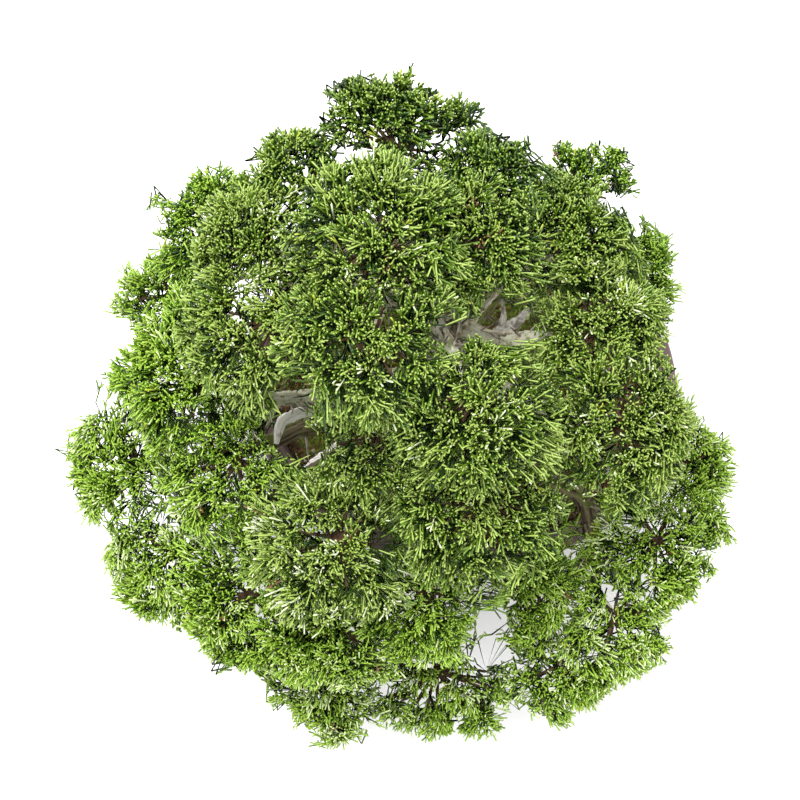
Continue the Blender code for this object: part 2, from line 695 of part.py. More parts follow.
def build_mass(name, limbs, collection, workshop):
    """Stem, core and sprays joined in one union, with the stem cut clear of its limb."""
    _, _, carrier, place, share = MASSES[name]
    rng = random.Random(name)
    root = at_share(limbs[carrier], place).to_3d()
    entry = entry_point(name, root, 1.0)
    heart = entry_point(name, root, 0.25)
    stem_knots = [root, entry, heart]
    if (entry - root).length < SHORT_STEM:
        stem_knots = [root, root.lerp(heart, 0.5), heart]
    knots = []
    for k, point in enumerate(stem_knots):
        knots.append(Vector((*point, STEM_RADII[0] + (STEM_RADII[1] - STEM_RADII[0]) * k / 2)))
    stem = smooth_course(knots, 5)
    body = tube(name, stem, "mass", collection, resolution=0)
    core_object(name, share, rng, limbs, workshop)
    for k, (spray_root, tip, spread) in enumerate(spray_places(name, share, rng)):
        for shortening in (1.0, 0.92, 0.84):
            near_tip = spray_root.lerp(tip, shortening)
            if keeps_to_its_space(name, spray_root, near_tip, spread, limbs):
                forked_blade(f"{name}_spray_{k}", spray_root, near_tip, spread, workshop)
                break
    combine(body, "UNION", workshop)
    limb_cutter(carrier, limbs, workshop)
    combine(body, "DIFFERENCE", workshop)
    return stem


def limb_cutter(limb, limbs, workshop):
    """A copy of a limb that is larger by the gap, to cut what stands on it."""
    if limb == "trunk":
        mesh = trunk_mesh("trunk_cutter", limbs["trunk"], CLEAR)
        new_object("trunk_cutter", mesh, "trunk", workshop)
        return
    course = [sample.copy() for sample in limbs[limb]]
    end = (course[-1] - course[-2]).to_3d().normalized() * CLEAR
    course[-1] += Vector((*end, 0.0))
    tube(limb + "_cutter", course, "bough", workshop, swell=CUTTER_SWELL)


def build_bough(name, limbs, collection, workshop):
    course = bough_course(name, limbs)
    body = tube(name, course, "bough", collection)
    limb_cutter(BOUGHS[name][0], limbs, workshop)
    combine(body, "DIFFERENCE", workshop)
    return course


def build_deadwood(name, limbs, collection, workshop):
    limb, branches = DEADWOOD[name]
    courses = []
    for branch in branches:
        knots = [Vector(knot) * MM for knot in branch]
        courses.append(smooth_course(knots, len(branch) + 1))
    body = tube(name, courses[0], "deadwood", collection)
    for k, course in enumerate(courses[1:]):
        tube(f"{name}_twig_{k}", course, "deadwood", workshop)
    if len(courses) > 1:
        combine(body, "UNION", workshop)
    limb_cutter(limb, limbs, workshop)
    combine(body, "DIFFERENCE", workshop)
    return courses


def build():
    for obj in list(bpy.data.objects):
        bpy.data.objects.remove(obj)
    collection = bpy.data.collections.new("chinese_juniper_bonsai")
    workshop = bpy.data.collections.new("workshop")
    bpy.context.scene.collection.children.link(collection)
    bpy.context.scene.collection.children.link(workshop)
    build_pot(collection)
    build_soil(collection)
    trunk_knots = [Vector(knot) * MM for knot in TRUNK_COURSE]
    trunk_knots[0].z = SOIL_TOP + CLEAR
    limbs = {"trunk": smooth_course(trunk_knots, TRUNK_RINGS)}
    new_object("trunk", trunk_mesh("trunk", limbs["trunk"]), "trunk", collection)
    for name in BOUGHS:
        limbs[name] = build_bough(name, limbs, collection, workshop)
    for name in DEADWOOD:
        for k, course in enumerate(build_deadwood(name, limbs, collection, workshop)):
            limbs[f"{name}_{k}"] = course
    for name in MASSES:
        limbs[name + "_stem"] = build_mass(name, limbs, collection, workshop)
    bpy.data.collections.remove(workshop)
    for obj in collection.objects:
        obj.data.shade_smooth()
        obj.data.set_sharp_from_angle(angle=math.radians(35))


build()
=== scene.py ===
"""Chinese juniper bonsai in an oval unglazed pot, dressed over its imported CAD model.

The sections follow the tree as it is potted up: pot, soil, moss and litter, trunk and boughs, dead
wood, twigs, foliage, and last the studio. Metres, +Z up, origin under the middle of the pot.
"""
import math
import random

import bpy
import numpy as np
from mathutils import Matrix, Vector


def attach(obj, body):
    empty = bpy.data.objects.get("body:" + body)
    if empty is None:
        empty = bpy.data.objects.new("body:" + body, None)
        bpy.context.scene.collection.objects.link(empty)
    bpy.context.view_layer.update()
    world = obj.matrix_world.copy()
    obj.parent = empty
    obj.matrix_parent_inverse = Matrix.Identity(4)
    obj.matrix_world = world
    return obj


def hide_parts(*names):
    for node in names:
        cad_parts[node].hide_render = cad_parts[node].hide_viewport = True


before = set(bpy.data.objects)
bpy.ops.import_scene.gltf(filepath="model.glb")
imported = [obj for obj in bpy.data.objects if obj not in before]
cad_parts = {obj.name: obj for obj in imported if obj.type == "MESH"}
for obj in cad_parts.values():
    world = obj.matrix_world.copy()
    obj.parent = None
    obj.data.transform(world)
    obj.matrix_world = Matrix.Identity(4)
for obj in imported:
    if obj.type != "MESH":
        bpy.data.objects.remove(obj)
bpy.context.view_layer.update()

# ---------------------------------------------------------------------------------------------
# The pot: slab-built stoneware with a bellied wall, a recessed foot and a flat lip. It is fired
# without glaze, so the clay itself shows: a mauve brown, smooth and matt, a little worn on edges.
# ---------------------------------------------------------------------------------------------
MM = 0.001
POT_HALF_LENGTH = 156.5 * MM
POT_HALF_WIDTH = 132 * MM
POT_HEIGHT = 68 * MM
LIP_BOTTOM = 61 * MM
LIP_WIDTH = 14.5 * MM
LIP_OVERHANG = 6.5 * MM
LIP_TOP_CURVE = 2.6 * MM
LIP_UNDER_CURVE = 1.6 * MM
EDGE_CURVE = 1.2 * MM  # where the wall meets the lip, and the lip's inner edge
BELLY_INSET = 22 * MM
FOOT_INSET = 30 * MM
FOOT_HEIGHT = 6 * MM
FOOT_TAPER = 1 * MM
FOOT_EDGE = 0.6 * MM
FOOT_BEAD = 0.8 * MM  # the bead where the foot meets the belly
POT_FLOOR = 11 * MM
WALL_FOOT_INSET = 34 * MM
PROFILE_END = 60 * MM  # inset at which the floor and underside are closed by a fan
POT_AROUND = 300


def linear(code):
    """An sRGB hex colour as linear RGBA: ((c + 0.055) / 1.055) ** 2.4, or c / 12.92 when dark."""
    parts = [int(code[k:k + 2], 16) / 255 for k in (1, 3, 5)]
    return (*[c / 12.92 if c <= 0.04045 else ((c + 0.055) / 1.055) ** 2.4 for c in parts], 1.0)


def add_node(tree, kind, inputs=None, **settings):
    """Add a node with its settings; an input takes a value or the socket that feeds it."""
    made = tree.nodes.new(kind)
    for key, value in settings.items():
        setattr(made, key, value)
    for key, value in (inputs or {}).items():
        if isinstance(value, bpy.types.NodeSocket):
            tree.links.new(value, made.inputs[key])
        else:
            made.inputs[key].default_value = value
    return made


def new_material(name, roughness, ior=1.5, **constants):
    """A material with one Principled shader, and its tree and shader to build on."""
    made = bpy.data.materials.new(name)
    made.use_nodes = True
    shader = made.node_tree.nodes["Principled BSDF"]
    shader.inputs["Roughness"].default_value = roughness
    shader.inputs["IOR"].default_value = ior
    for key, value in constants.items():
        shader.inputs[key.replace("_", " ")].default_value = value
    return made, made.node_tree, shader


def skin(rows, closed_ends=True):
    """Join a grid of points rows[i, j] into quads, closed round j, with a fan at each end."""
    count, around = rows.shape[:2]
    index = np.arange(count * around).reshape(count, around)
    after = np.roll(index, -1, axis=1)
    quads = np.stack((index[:-1], after[:-1], after[1:], index[1:]), axis=-1).reshape(-1, 4)
    points = rows.reshape(-1, 3)
    triangles = np.zeros((0, 3), int)
    if closed_ends:
        points = np.vstack((points, rows[0].mean(0), rows[-1].mean(0)))
        low = np.full(around, count * around)
        start = np.stack((after[0], index[0], low), axis=-1)
        end = np.stack((index[-1], after[-1], low + 1), axis=-1)
        triangles = np.vstack((start, end))
    return {"points": points, "quads": quads, "triangles": triangles}


def joined(parts):
    """Several parts as one: their points in a row, and each part's faces moved up to its own."""
    offsets = np.cumsum([0] + [len(part["points"]) for part in parts[:-1]])
    whole = {"points": np.vstack([part["points"] for part in parts])}
    for kind in ("quads", "triangles"):
        whole[kind] = np.vstack([part[kind] + k for part, k in zip(parts, offsets)])
    for key in parts[0]:
        if key not in whole:
            whole[key] = np.concatenate([part[key] for part in parts])
    return whole


def new_piece(name, part, materials, replaced=(), face_materials=None, smooth=True):
    """Put a part's arrays into a mesh, with its spare arrays as point attributes."""
    mesh = bpy.data.meshes.new(name)
    quads, triangles = part["quads"], part["triangles"]
    corners = np.concatenate((quads.ravel(), triangles.ravel())).astype(np.int32)
    starts = np.concatenate((
        np.arange(len(quads)) * 4,
        len(quads) * 4 + np.arange(len(triangles)) * 3,
    )).astype(np.int32)
    mesh.vertices.add(len(part["points"]))
    mesh.vertices.foreach_set("co", part["points"].astype(np.float32).ravel())
    mesh.loops.add(len(corners))
    mesh.loops.foreach_set("vertex_index", corners)
    mesh.polygons.add(len(starts))
    mesh.polygons.foreach_set("loop_start", starts)
    if face_materials is not None:
        mesh.polygons.foreach_set("material_index", face_materials.astype(np.int32))
    for key, values in part.items():
        if key in ("points", "quads", "triangles"):
            continue
        kind, field = ("FLOAT_VECTOR", "vector") if values.ndim == 2 else ("FLOAT", "value")
        attribute = mesh.attributes.new(key, kind, "POINT")
        attribute.data.foreach_set(field, values.astype(np.float32).ravel())
    mesh.update(calc_edges=True)
    if smooth:
        mesh.shade_smooth()
    for material in materials:
        mesh.materials.append(material)
    obj = bpy.data.objects.new(name, mesh)
    bpy.context.scene.collection.objects.link(obj)
    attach(obj, "root")
    if replaced:
        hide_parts(*replaced)
    return obj


def arc(inset, height, radius, start, end, count=7):
    """Points (inset, height) round a centre, from one bearing in degrees to another."""
    turn = np.radians(np.linspace(start, end, count))
    return np.stack((inset + radius * np.cos(turn), height + radius * np.sin(turn)), axis=-1)


def straight(start, end, count):
    """Even points from start to end, without those two: start + k (end - start) / (count - 1)."""
    return np.linspace(start, end, count)[1:-1]


def pot_profile():
    """The pot's section as (inset from the rim, height): foot, belly, lip, inner wall, floor. The
    belly is a quarter of an ellipse, and every edge is a part of a circle."""
    turn = np.linspace(0, math.pi / 2, 26)
    belly = np.stack((
        LIP_OVERHANG + (BELLY_INSET - LIP_OVERHANG) * (1 - np.sin(turn)),
        FOOT_HEIGHT + (LIP_BOTTOM - FOOT_HEIGHT) * (1 - np.cos(turn)),
    ), axis=-1)
    foot_top = FOOT_HEIGHT - FOOT_BEAD
    lip_inside = POT_HEIGHT - EDGE_CURVE
    return np.vstack((
        straight((PROFILE_END, 0.0), (FOOT_INSET + FOOT_EDGE, 0.0), 5),
        arc(FOOT_INSET + FOOT_EDGE, FOOT_EDGE, FOOT_EDGE, 270, 180, 4),
        straight((FOOT_INSET, FOOT_EDGE), (FOOT_INSET - FOOT_TAPER, foot_top), 4),
        arc(FOOT_INSET - FOOT_TAPER - FOOT_BEAD, foot_top, FOOT_BEAD, 180, 90, 4),
        belly[:-1],
        arc(LIP_OVERHANG - EDGE_CURVE, LIP_BOTTOM - EDGE_CURVE, EDGE_CURVE, 0, 90, 4),
        arc(LIP_UNDER_CURVE, LIP_BOTTOM + LIP_UNDER_CURVE, LIP_UNDER_CURVE, 270, 180, 6),
        arc(LIP_TOP_CURVE, POT_HEIGHT - LIP_TOP_CURVE, LIP_TOP_CURVE, 180, 90, 8),
        straight((LIP_TOP_CURVE, POT_HEIGHT), (LIP_WIDTH - EDGE_CURVE, POT_HEIGHT), 8),
        arc(LIP_WIDTH - EDGE_CURVE, lip_inside, EDGE_CURVE, 90, 0, 6),
        straight((LIP_WIDTH, lip_inside), (WALL_FOOT_INSET, POT_FLOOR), 10),
        straight((WALL_FOOT_INSET, POT_FLOOR), (PROFILE_END, POT_FLOOR), 5),
    ))


def ripples(points, wavelength, seed, waves=18):
    """A smooth random field: the sum of cos(k.p + phase) over plane waves in random directions,
    with wave lengths within a third of the one given, scaled to a spread of 1."""
    rng = np.random.default_rng(seed)
    way = rng.normal(size=(waves, points.shape[-1]))
    way /= np.linalg.norm(way, axis=1, keepdims=True)
    way *= 2 * math.pi / (wavelength * rng.uniform(0.7, 1.35, waves))[:, None]
    return np.cos(points @ way.T + rng.uniform(0, 6.28, waves)).sum(-1) / math.sqrt(waves / 2)


def pot_part():
    """Every ring is an ellipse, (L - inset) cos a, (W - inset) sin a, its hand-worked wall a
    third of a millimetre out of true."""
    profile = pot_profile()
    turn = np.linspace(0, 2 * math.pi, POT_AROUND, endpoint=False)
    inset = profile[:, :1] + 0 * turn
    height = profile[:, 1:] + 0 * turn
    rows = np.stack((
        (POT_HALF_LENGTH - inset) * np.cos(turn),
        (POT_HALF_WIDTH - inset) * np.sin(turn),
        height,
    ), axis=-1)
    wall = np.clip((height - 8 * MM) / (20 * MM), 0, 1) * np.clip((60 * MM - height) / (6 * MM), 0, 1)
    rows[..., :2] *= (1 + 0.002 * wall * ripples(rows, 60 * MM, 3))[..., None]
    return skin(rows)


def stoneware():
    """Unglazed stoneware: mauve brown clay in clouds 36 mm wide where the flame reached it, grit
    specks under 0.7 mm, and a burnished, matt skin with a grain of 1.4 mm."""
    made, tree, shader = new_material("Unglazed stoneware, burnished", 0.62, Specular_IOR_Level=0.35)
    place = add_node(tree, "ShaderNodeTexCoord").outputs["Object"]
    cloud = add_node(tree, "ShaderNodeTexNoise", {
        "Vector": place, "Scale": 1 / (35.71 * MM), "Detail": 5.0, "Roughness": 0.6,
    })
    clay = add_node(tree, "ShaderNodeValToRGB", {0: cloud.outputs[0]})
    clay.color_ramp.elements[0].position = 0.35
    clay.color_ramp.elements[0].color = linear("#604f4d")
    clay.color_ramp.elements[1].position = 0.68
    clay.color_ramp.elements[1].color = linear("#786664")
    grit = add_node(tree, "ShaderNodeTexNoise", {
        "Vector": place, "Scale": 1 / (0.7143 * MM), "Detail": 2.0,
    })
    speck = add_node(tree, "ShaderNodeValToRGB", {0: grit.outputs[0]})
    speck.color_ramp.elements[0].position = 0.28
    speck.color_ramp.elements[0].color = linear("#7a706f")
    speck.color_ramp.elements[1].position = 0.40
    speck.color_ramp.elements[1].color = (1, 1, 1, 1)
    colour = add_node(tree, "ShaderNodeMix", {0: 1.0, 6: clay.outputs[0], 7: speck.outputs[0]},
                      data_type="RGBA", blend_type="MULTIPLY")
    tree.links.new(colour.outputs[2], shader.inputs["Base Color"])
    skin_grain = add_node(tree, "ShaderNodeTexNoise", {
        "Vector": place, "Scale": 1 / (1.429 * MM), "Detail": 4.0,
    })
    bump = add_node(tree, "ShaderNodeBump", {
        "Strength": 0.25, "Distance": 0.3 * MM, "Height": skin_grain.outputs[0],
    })
    tree.links.new(bump.outputs[0], shader.inputs["Normal"])
    return made


new_piece("pot_stoneware", pot_part(), [stoneware()], ["pot"])

# ---------------------------------------------------------------------------------------------
# The soil: damp, granular bonsai earth that fills the pot to its lip. It stands level round the
# trunk, drops a little at the wall, and cushions of moss have grown over more than half of it.
# ---------------------------------------------------------------------------------------------
SOIL_TOP = 67 * MM
SOIL_EDGE = 62 * MM
SOIL_LEVEL_SHARE = 0.88
SOIL_INSET = 16.9 * MM
SOIL_BOTTOM = 11.3 * MM
# Moss cushions, clear of the roots, as (x, y, radius, rise) in mm.
MOSS_CUSHIONS = (
    (28, -72, 18, 2.6), (56, -64, 17, 3.0), (28, -38, 18, 3.2), (60, -32, 20, 2.8),
    (90, -26, 17, 2.4), (-98, -14, 15, 2.8), (10, -4, 16, 2.4), (40, -2, 19, 3.3),
    (74, 2, 20, 2.9), (101, 6, 15, 2.2), (-86, 22, 19, 3.1), (-52, 28, 18, 2.7),
    (-18, 28, 19, 3.4), (16, 28, 19, 2.8), (50, 31, 19, 3.2), (84, 30, 18, 2.6),
    (-62, 56, 18, 2.5), (-30, 60, 19, 3.2), (4, 60, 18, 2.9), (36, 62, 19, 2.6),
    (66, 55, 16, 2.9), (-12, 84, 15, 2.4),
)
# Where moss has only begun to creep over the earth, as (x, y, radius) in mm.
MOSS_FILMS = ((-104, -47, 17), (-116, -20, 12), (88, -84, 20), (66, -92, 16))


def smooth_step(values, low, high):
    """0 below low, 1 above high, and t * t * (3 - 2 t) between."""
    t = np.clip((values - low) / (high - low), 0, 1)
    return t * t * (3 - 2 * t)


def soil_share(x, y):
    """How far out a place is in the soil's oval: 0 in the middle, 1 at the wall."""
    return np.hypot(x / (POT_HALF_LENGTH - SOIL_INSET), y / (POT_HALF_WIDTH - SOIL_INSET))


def cushion(x, y, spread=1.0, power=2):
    """The highest of the cushions' domes, rise * (1 - (d / (spread * radius))^2)^power."""
    middle_x, middle_y, radius, rise = (np.array(column) * MM for column in zip(*MOSS_CUSHIONS))
    off = np.hypot(x[..., None] - middle_x, y[..., None] - middle_y) / (spread * radius)
    return (rise * np.maximum(1 - off * off, 0) ** power).max(-1)


def moss_cover(x, y):
    """How mossy a place is, 0 to 1: on the cushions, on the films, and in patches round them."""
    place = np.stack((x, y), axis=-1)
    middle_x, middle_y, radius = (np.array(column) * MM for column in zip(*MOSS_FILMS))
    off = np.hypot(x[..., None] - middle_x, y[..., None] - middle_y) / radius
    field = cushion(x, y, 1.25, 1) / MM + 2.2 * np.maximum(1 - off ** 2, 0).max(-1) - 0.5
    field += 0.6 * ripples(place, 14 * MM, 12) + 0.25 * ripples(place, 5 * MM, 11)
    return smooth_step(field, -0.2, 0.7) * smooth_step(1.0 - soil_share(x, y), 0.02, 0.10)


def soil_height(x, y):
    """The level or falling ground, with clods a few mm across, and the moss standing on it."""
    place = np.stack((x, y), axis=-1)
    fall = smooth_step(soil_share(x, y), SOIL_LEVEL_SHARE, 1.0)
    ground = SOIL_TOP - 0.6 * MM - fall * (SOIL_TOP - SOIL_EDGE)
    ground += (0.45 * ripples(place, 9 * MM, 13) + 0.30 * ripples(place, 4 * MM, 14)) * MM
    velvet = (0.5 + 0.25 * ripples(place, 8 * MM, 15) + 0.15 * ripples(place, 3.2 * MM, 16)) * MM
    return ground + cushion(x, y) + moss_cover(x, y) * velvet


def soil_part():
    """Rings of the oval, a * u * cos v by b * u * sin v, at the ground's height, and a plain
    side and bottom inside the pot."""
    turn = np.linspace(0, 2 * math.pi, 420, endpoint=False)
    share = np.sqrt(np.linspace(1.0, 0.0004, 130))[:, None]
    x = (POT_HALF_LENGTH - SOIL_INSET) * share * np.cos(turn)
    y = (POT_HALF_WIDTH - SOIL_INSET) * share * np.sin(turn)
    top = np.stack((x, y, soil_height(x, y)), axis=-1)
    low = top[:1] * (0.87, 0.87, 0.0) + (0.0, 0.0, SOIL_BOTTOM)
    part = skin(np.vstack((low, top)))
    x, y = part["points"][:, 0], part["points"][:, 1]
    part["moss"] = moss_cover(x, y)
    return part


def mossy_earth():
    """Damp earth, near black, with pale and rusty grains 2 mm across; where the moss attribute
    is high, a velvet of moss in tufts of 2.4 mm, olive in its hollows, yellow green on top."""
    made, tree, shader = new_material("Mossy bonsai earth", 0.95, Specular_IOR_Level=0.15)
    place = add_node(tree, "ShaderNodeTexCoord").outputs["Object"]
    grains = add_node(tree, "ShaderNodeTexVoronoi", {"Vector": place, "Scale": 1 / (2.083 * MM)})
    earth = add_node(tree, "ShaderNodeValToRGB", {0: grains.outputs["Color"]})
    earth.color_ramp.elements[0].color = linear("#231b14")
    earth.color_ramp.elements[1].color = linear("#78654c")
    rusty = earth.color_ramp.elements.new(0.55)
    rusty.color = linear("#4e3624")
    velvet = add_node(tree, "ShaderNodeTexNoise", {
        "Vector": place, "Scale": 1 / (2.381 * MM), "Detail": 5.0, "Roughness": 0.7,
    })
    moss = add_node(tree, "ShaderNodeValToRGB", {0: velvet.outputs[0]})
    moss.color_ramp.elements[0].position = 0.34
    moss.color_ramp.elements[0].color = linear("#313717")
    moss.color_ramp.elements[1].position = 0.66
    moss.color_ramp.elements[1].color = linear("#7c8d38")
    cover = add_node(tree, "ShaderNodeAttribute", attribute_name="moss")
    colour = add_node(tree, "ShaderNodeMix", {
        0: cover.outputs["Fac"], 6: earth.outputs[0], 7: moss.outputs[0],
    }, data_type="RGBA")
    tree.links.new(colour.outputs[2], shader.inputs["Base Color"])
    bump = add_node(tree, "ShaderNodeBump", {
        "Strength": 0.8, "Distance": 1.2 * MM, "Height": velvet.outputs[0],
    })
    tree.links.new(bump.outputs[0], shader.inputs["Normal"])
    return made


new_piece("soil_mossy_earth", soil_part(), [mossy_earth()], ["soil"])

# ---------------------------------------------------------------------------------------------
# Litter and grit on the soil: rust-brown cast shoots of the juniper, 2 to 7 mm long, and rounded
# grains of pumice and baked clay 1.5 to 3.5 mm across, which were strewn when it was potted.
# ---------------------------------------------------------------------------------------------
LITTER_COUNT = 2600
LITTER_HALF_LENGTH = (1.2, 3.6)  # mm
LITTER_RADIUS = (0.35, 0.7)  # mm
LITTER_LIFT = (0.3, 1.1)  # mm above the ground, as it lies on other litter
GRIT_COUNT = 1700
GRIT_HALF_WIDTH = (0.7, 1.8)  # mm
GRIT_SQUASH = (1.0, 0.9, 0.7)


def scattered(count, seed, inset):
    """Random places on the soil's oval: radius sqrt(u), bearing 2 pi v."""
    rng = np.random.default_rng(seed)
    reach = np.sqrt(rng.uniform(0, 1, count)) * (1 - inset)
    turn = rng.uniform(0, 2 * math.pi, count)
    x = (POT_HALF_LENGTH - SOIL_INSET) * reach * np.cos(turn)
    y = (POT_HALF_WIDTH - SOIL_INSET) * reach * np.sin(turn)
    return np.stack((x, y, soil_height(x, y)), axis=-1)


def unit(vectors):
    """Each vector over its own length."""
    return vectors / np.maximum(np.linalg.norm(vectors, axis=-1, keepdims=True), 1e-12)


def across(vectors):
    """Two unit vectors square to each of the given ones and to each other, by cross products."""
    helper = np.where(np.abs(vectors[..., 2:3]) < 0.8, (0.0, 0.0, 1.0), (1.0, 0.0, 0.0))
    one = unit(np.cross(vectors, helper))
    return one, np.cross(vectors, one)


def shoots_part(starts, middles, ends, radii, slender=0.9):
    """Many three-sided shoots at once, each a point at its start, a ring slender times the radius
    at its middle, a full one a radius short of its end, and a blunt tip."""
    ahead = unit(ends - middles)
    one, two = across(ahead)
    turn = np.arange(3) * 2 * math.pi / 3
    ring = one[:, None] * np.cos(turn)[:, None] + two[:, None] * np.sin(turn)[:, None]
    ring = ring * radii[:, None, None]
    shoulder = ends - ahead * radii[:, None]
    points = np.concatenate((
        starts[:, None], middles[:, None] + ring * slender, shoulder[:, None] + ring, ends[:, None],
    ), axis=1)
    base = (np.arange(len(starts)) * 8)[:, None, None]
    sides = np.array([(1, 2, 5, 4), (2, 3, 6, 5), (3, 1, 4, 6)])
    caps = np.array([(2, 1, 0), (3, 2, 0), (1, 3, 0), (4, 5, 7), (5, 6, 7), (6, 4, 7)])
    return {
        "points": points.reshape(-1, 3),
        "quads": (base + sides).reshape(-1, 4),
        "triangles": (base + caps).reshape(-1, 3),
    }


def litter_part():
    """Shoots through random places, with ends half a length either way at a random bearing and
    slope, and a middle that strays 0.3 mm."""
    rng = np.random.default_rng(21)
    middle = scattered(LITTER_COUNT, 22, 0.03)
    middle[:, 2] += rng.uniform(*LITTER_LIFT, LITTER_COUNT) * MM
    turn = rng.uniform(0, 2 * math.pi, LITTER_COUNT)
    slope = rng.normal(0, 0.14, LITTER_COUNT)
    half = np.stack((np.cos(turn), np.sin(turn), slope), axis=-1)
    half = half * rng.uniform(*LITTER_HALF_LENGTH, (LITTER_COUNT, 1)) * MM
    bent = middle + rng.normal(0, 0.3 * MM, middle.shape)
    radii = rng.uniform(*LITTER_RADIUS, LITTER_COUNT) * MM
    return shoots_part(middle - half, bent, middle + half, radii)


def grit_part():
    """Grains: an icosahedron's corners, each pushed in or out by up to a fifth, squashed level."""
    rng = np.random.default_rng(23)
    golden = (1 + math.sqrt(5)) / 2
    corners = unit(np.array([
        (-1, golden, 0), (1, golden, 0), (-1, -golden, 0), (1, -golden, 0),
        (0, -1, golden), (0, 1, golden), (0, -1, -golden), (0, 1, -golden),
        (golden, 0, -1), (golden, 0, 1), (-golden, 0, -1), (-golden, 0, 1),
    ], float))
    faces = np.array([
        (0, 11, 5), (0, 5, 1), (0, 1, 7), (0, 7, 10), (0, 10, 11), (1, 5, 9), (5, 11, 4),
        (11, 10, 2), (10, 7, 6), (7, 1, 8), (3, 9, 4), (3, 4, 2), (3, 2, 6), (3, 6, 8),
        (3, 8, 9), (4, 9, 5), (2, 4, 11), (6, 2, 10), (8, 6, 7), (9, 8, 1),
    ])
    places = scattered(GRIT_COUNT, 24, 0.01)
    size = rng.uniform(*GRIT_HALF_WIDTH, (GRIT_COUNT, 1, 1)) * MM * GRIT_SQUASH
    points = places[:, None] + corners * size * rng.uniform(0.8, 1.2, (GRIT_COUNT, 12, 1))
    return {
        "points": points.reshape(-1, 3),
        "quads": np.zeros((0, 4), int),
        "triangles": ((np.arange(GRIT_COUNT) * 12)[:, None, None] + faces).reshape(-1, 3),
    }


def dry_matter(name, dark, light, patch):
    """Dead plant stuff or porous grain: matt, its colour changing from piece to piece in patches
    of the given width, with pits 0.6 mm wide."""
    made, tree, shader = new_material(name, 0.9, Specular_IOR_Level=0.2)
    place = add_node(tree, "ShaderNodeTexCoord").outputs["Object"]
    field = add_node(tree, "ShaderNodeTexNoise", {"Vector": place, "Scale": 1 / patch, "Detail": 3.0})
    ramp = add_node(tree, "ShaderNodeValToRGB", {0: field.outputs[0]})
    ramp.color_ramp.elements[0].position = 0.35
    ramp.color_ramp.elements[0].color = linear(dark)
    ramp.color_ramp.elements[1].position = 0.65
    ramp.color_ramp.elements[1].color = linear(light)
    tree.links.new(ramp.outputs[0], shader.inputs["Base Color"])
    pits = add_node(tree, "ShaderNodeTexNoise", {
        "Vector": place, "Scale": 1 / (0.5556 * MM), "Detail": 2.0,
    })
    bump = add_node(tree, "ShaderNodeBump", {
        "Strength": 0.5, "Distance": 0.3 * MM, "Height": pits.outputs[0],
    })
    tree.links.new(bump.outputs[0], shader.inputs["Normal"])
    return made


cast_shoots = dry_matter("Cast juniper shoots, dry", "#5d3220", "#9a7851", 6.25 * MM)
strewn_grit = dry_matter("Pumice and baked clay grit", "#5e4c3a", "#b5aa96", 7.692 * MM)
new_piece("soil_litter", litter_part(), [cast_shoots])
new_piece("soil_grit", grit_part(), [strewn_grit])

# ---------------------------------------------------------------------------------------------
# The trunk and boughs: juniper wood in fibrous bark. The trunk flares at the soil, leans and winds
# up to its fork, and the boughs leave it in tiers. The bark comes away in strips that wind with the
# wood, tan to grey; the low boughs' bark is painted darker as shade, and bears less lichen.
# ---------------------------------------------------------------------------------------------
# The trunk's axis from the soil up, as (x, y, z, radius) in mm.
TRUNK_COURSE = (
    (-40, -44, 67, 25.0),
    (-44, -38, 85, 22.5),
    (-40, -23, 110, 20.5),
    (-28, 0, 145, 18.5),
    (-17, 22, 180, 16.0),
    (-16, 40, 215, 13.5),
    (-29, 50, 250, 11.0),
    (-45, 47, 285, 8.5),
    (-57, 46, 314, 6.0),
)
# Roots that flare from the foot, as (bearing in degrees, reach in mm, half-width in degrees).
ROOT_FLARE = (
    (197, 48, 17),
    (268, 40, 16),
    (325, 38, 15),
    (20, 44, 17),
    (82, 38, 16),
    (140, 37, 15),
)
FLARE_HEIGHT = 24 * MM
FLARE_CURVE = 1.6
FLUTE_DEPTH = 0.06
FLUTE_PITCH = 40 * MM
TRUNK_RINGS = 18
TRUNK_SUNK = 4 * MM  # how far the trunk goes on down into the earth
GRAIN_DRAWN = 9  # how many times its width the grain is drawn out along a limb
RIDGE_MEAN = 0.64  # of the strips, so that their relief stands out as much as it cuts in


def course_through(knots, count):
    """Even samples of a Catmull-Rom curve through knots of any dimension: between b and c it is
    0.5 (2 b + (c - a) t + (2 a - 5 b + 4 c - d) t^2 + (3 b - a - 3 c + d) t^3)."""
    knots = np.asarray(knots, float)
    ends = 2 * knots[:1] - knots[1:2], 2 * knots[-1:] - knots[-2:-1]
    knots = np.vstack((ends[0], knots, ends[1]))
    a, b, c, d = (knots[k:len(knots) - 3 + k, None] for k in range(4))
    t = (np.arange(12) / 12)[:, None]
    fine = 0.5 * (2 * b + (c - a) * t + (2 * a - 5 * b + 4 * c - d) * t ** 2
                  + (3 * b - a - 3 * c + d) * t ** 3)
    fine = np.vstack((fine.reshape(-1, knots.shape[1]), knots[-2:-1]))
    reach = np.concatenate(([0.0], np.cumsum(np.linalg.norm(np.diff(fine, axis=0), axis=1))))
    wanted = np.linspace(0, reach[-1], count)
    return np.stack([np.interp(wanted, reach, column) for column in fine.T], axis=-1)


def at_share(course, share):
    """The sample a share of the way along a course of even samples."""
    place = share * (len(course) - 1)
    low = min(int(place), len(course) - 2)
    return course[low] + (course[low + 1] - course[low]) * (place - low)


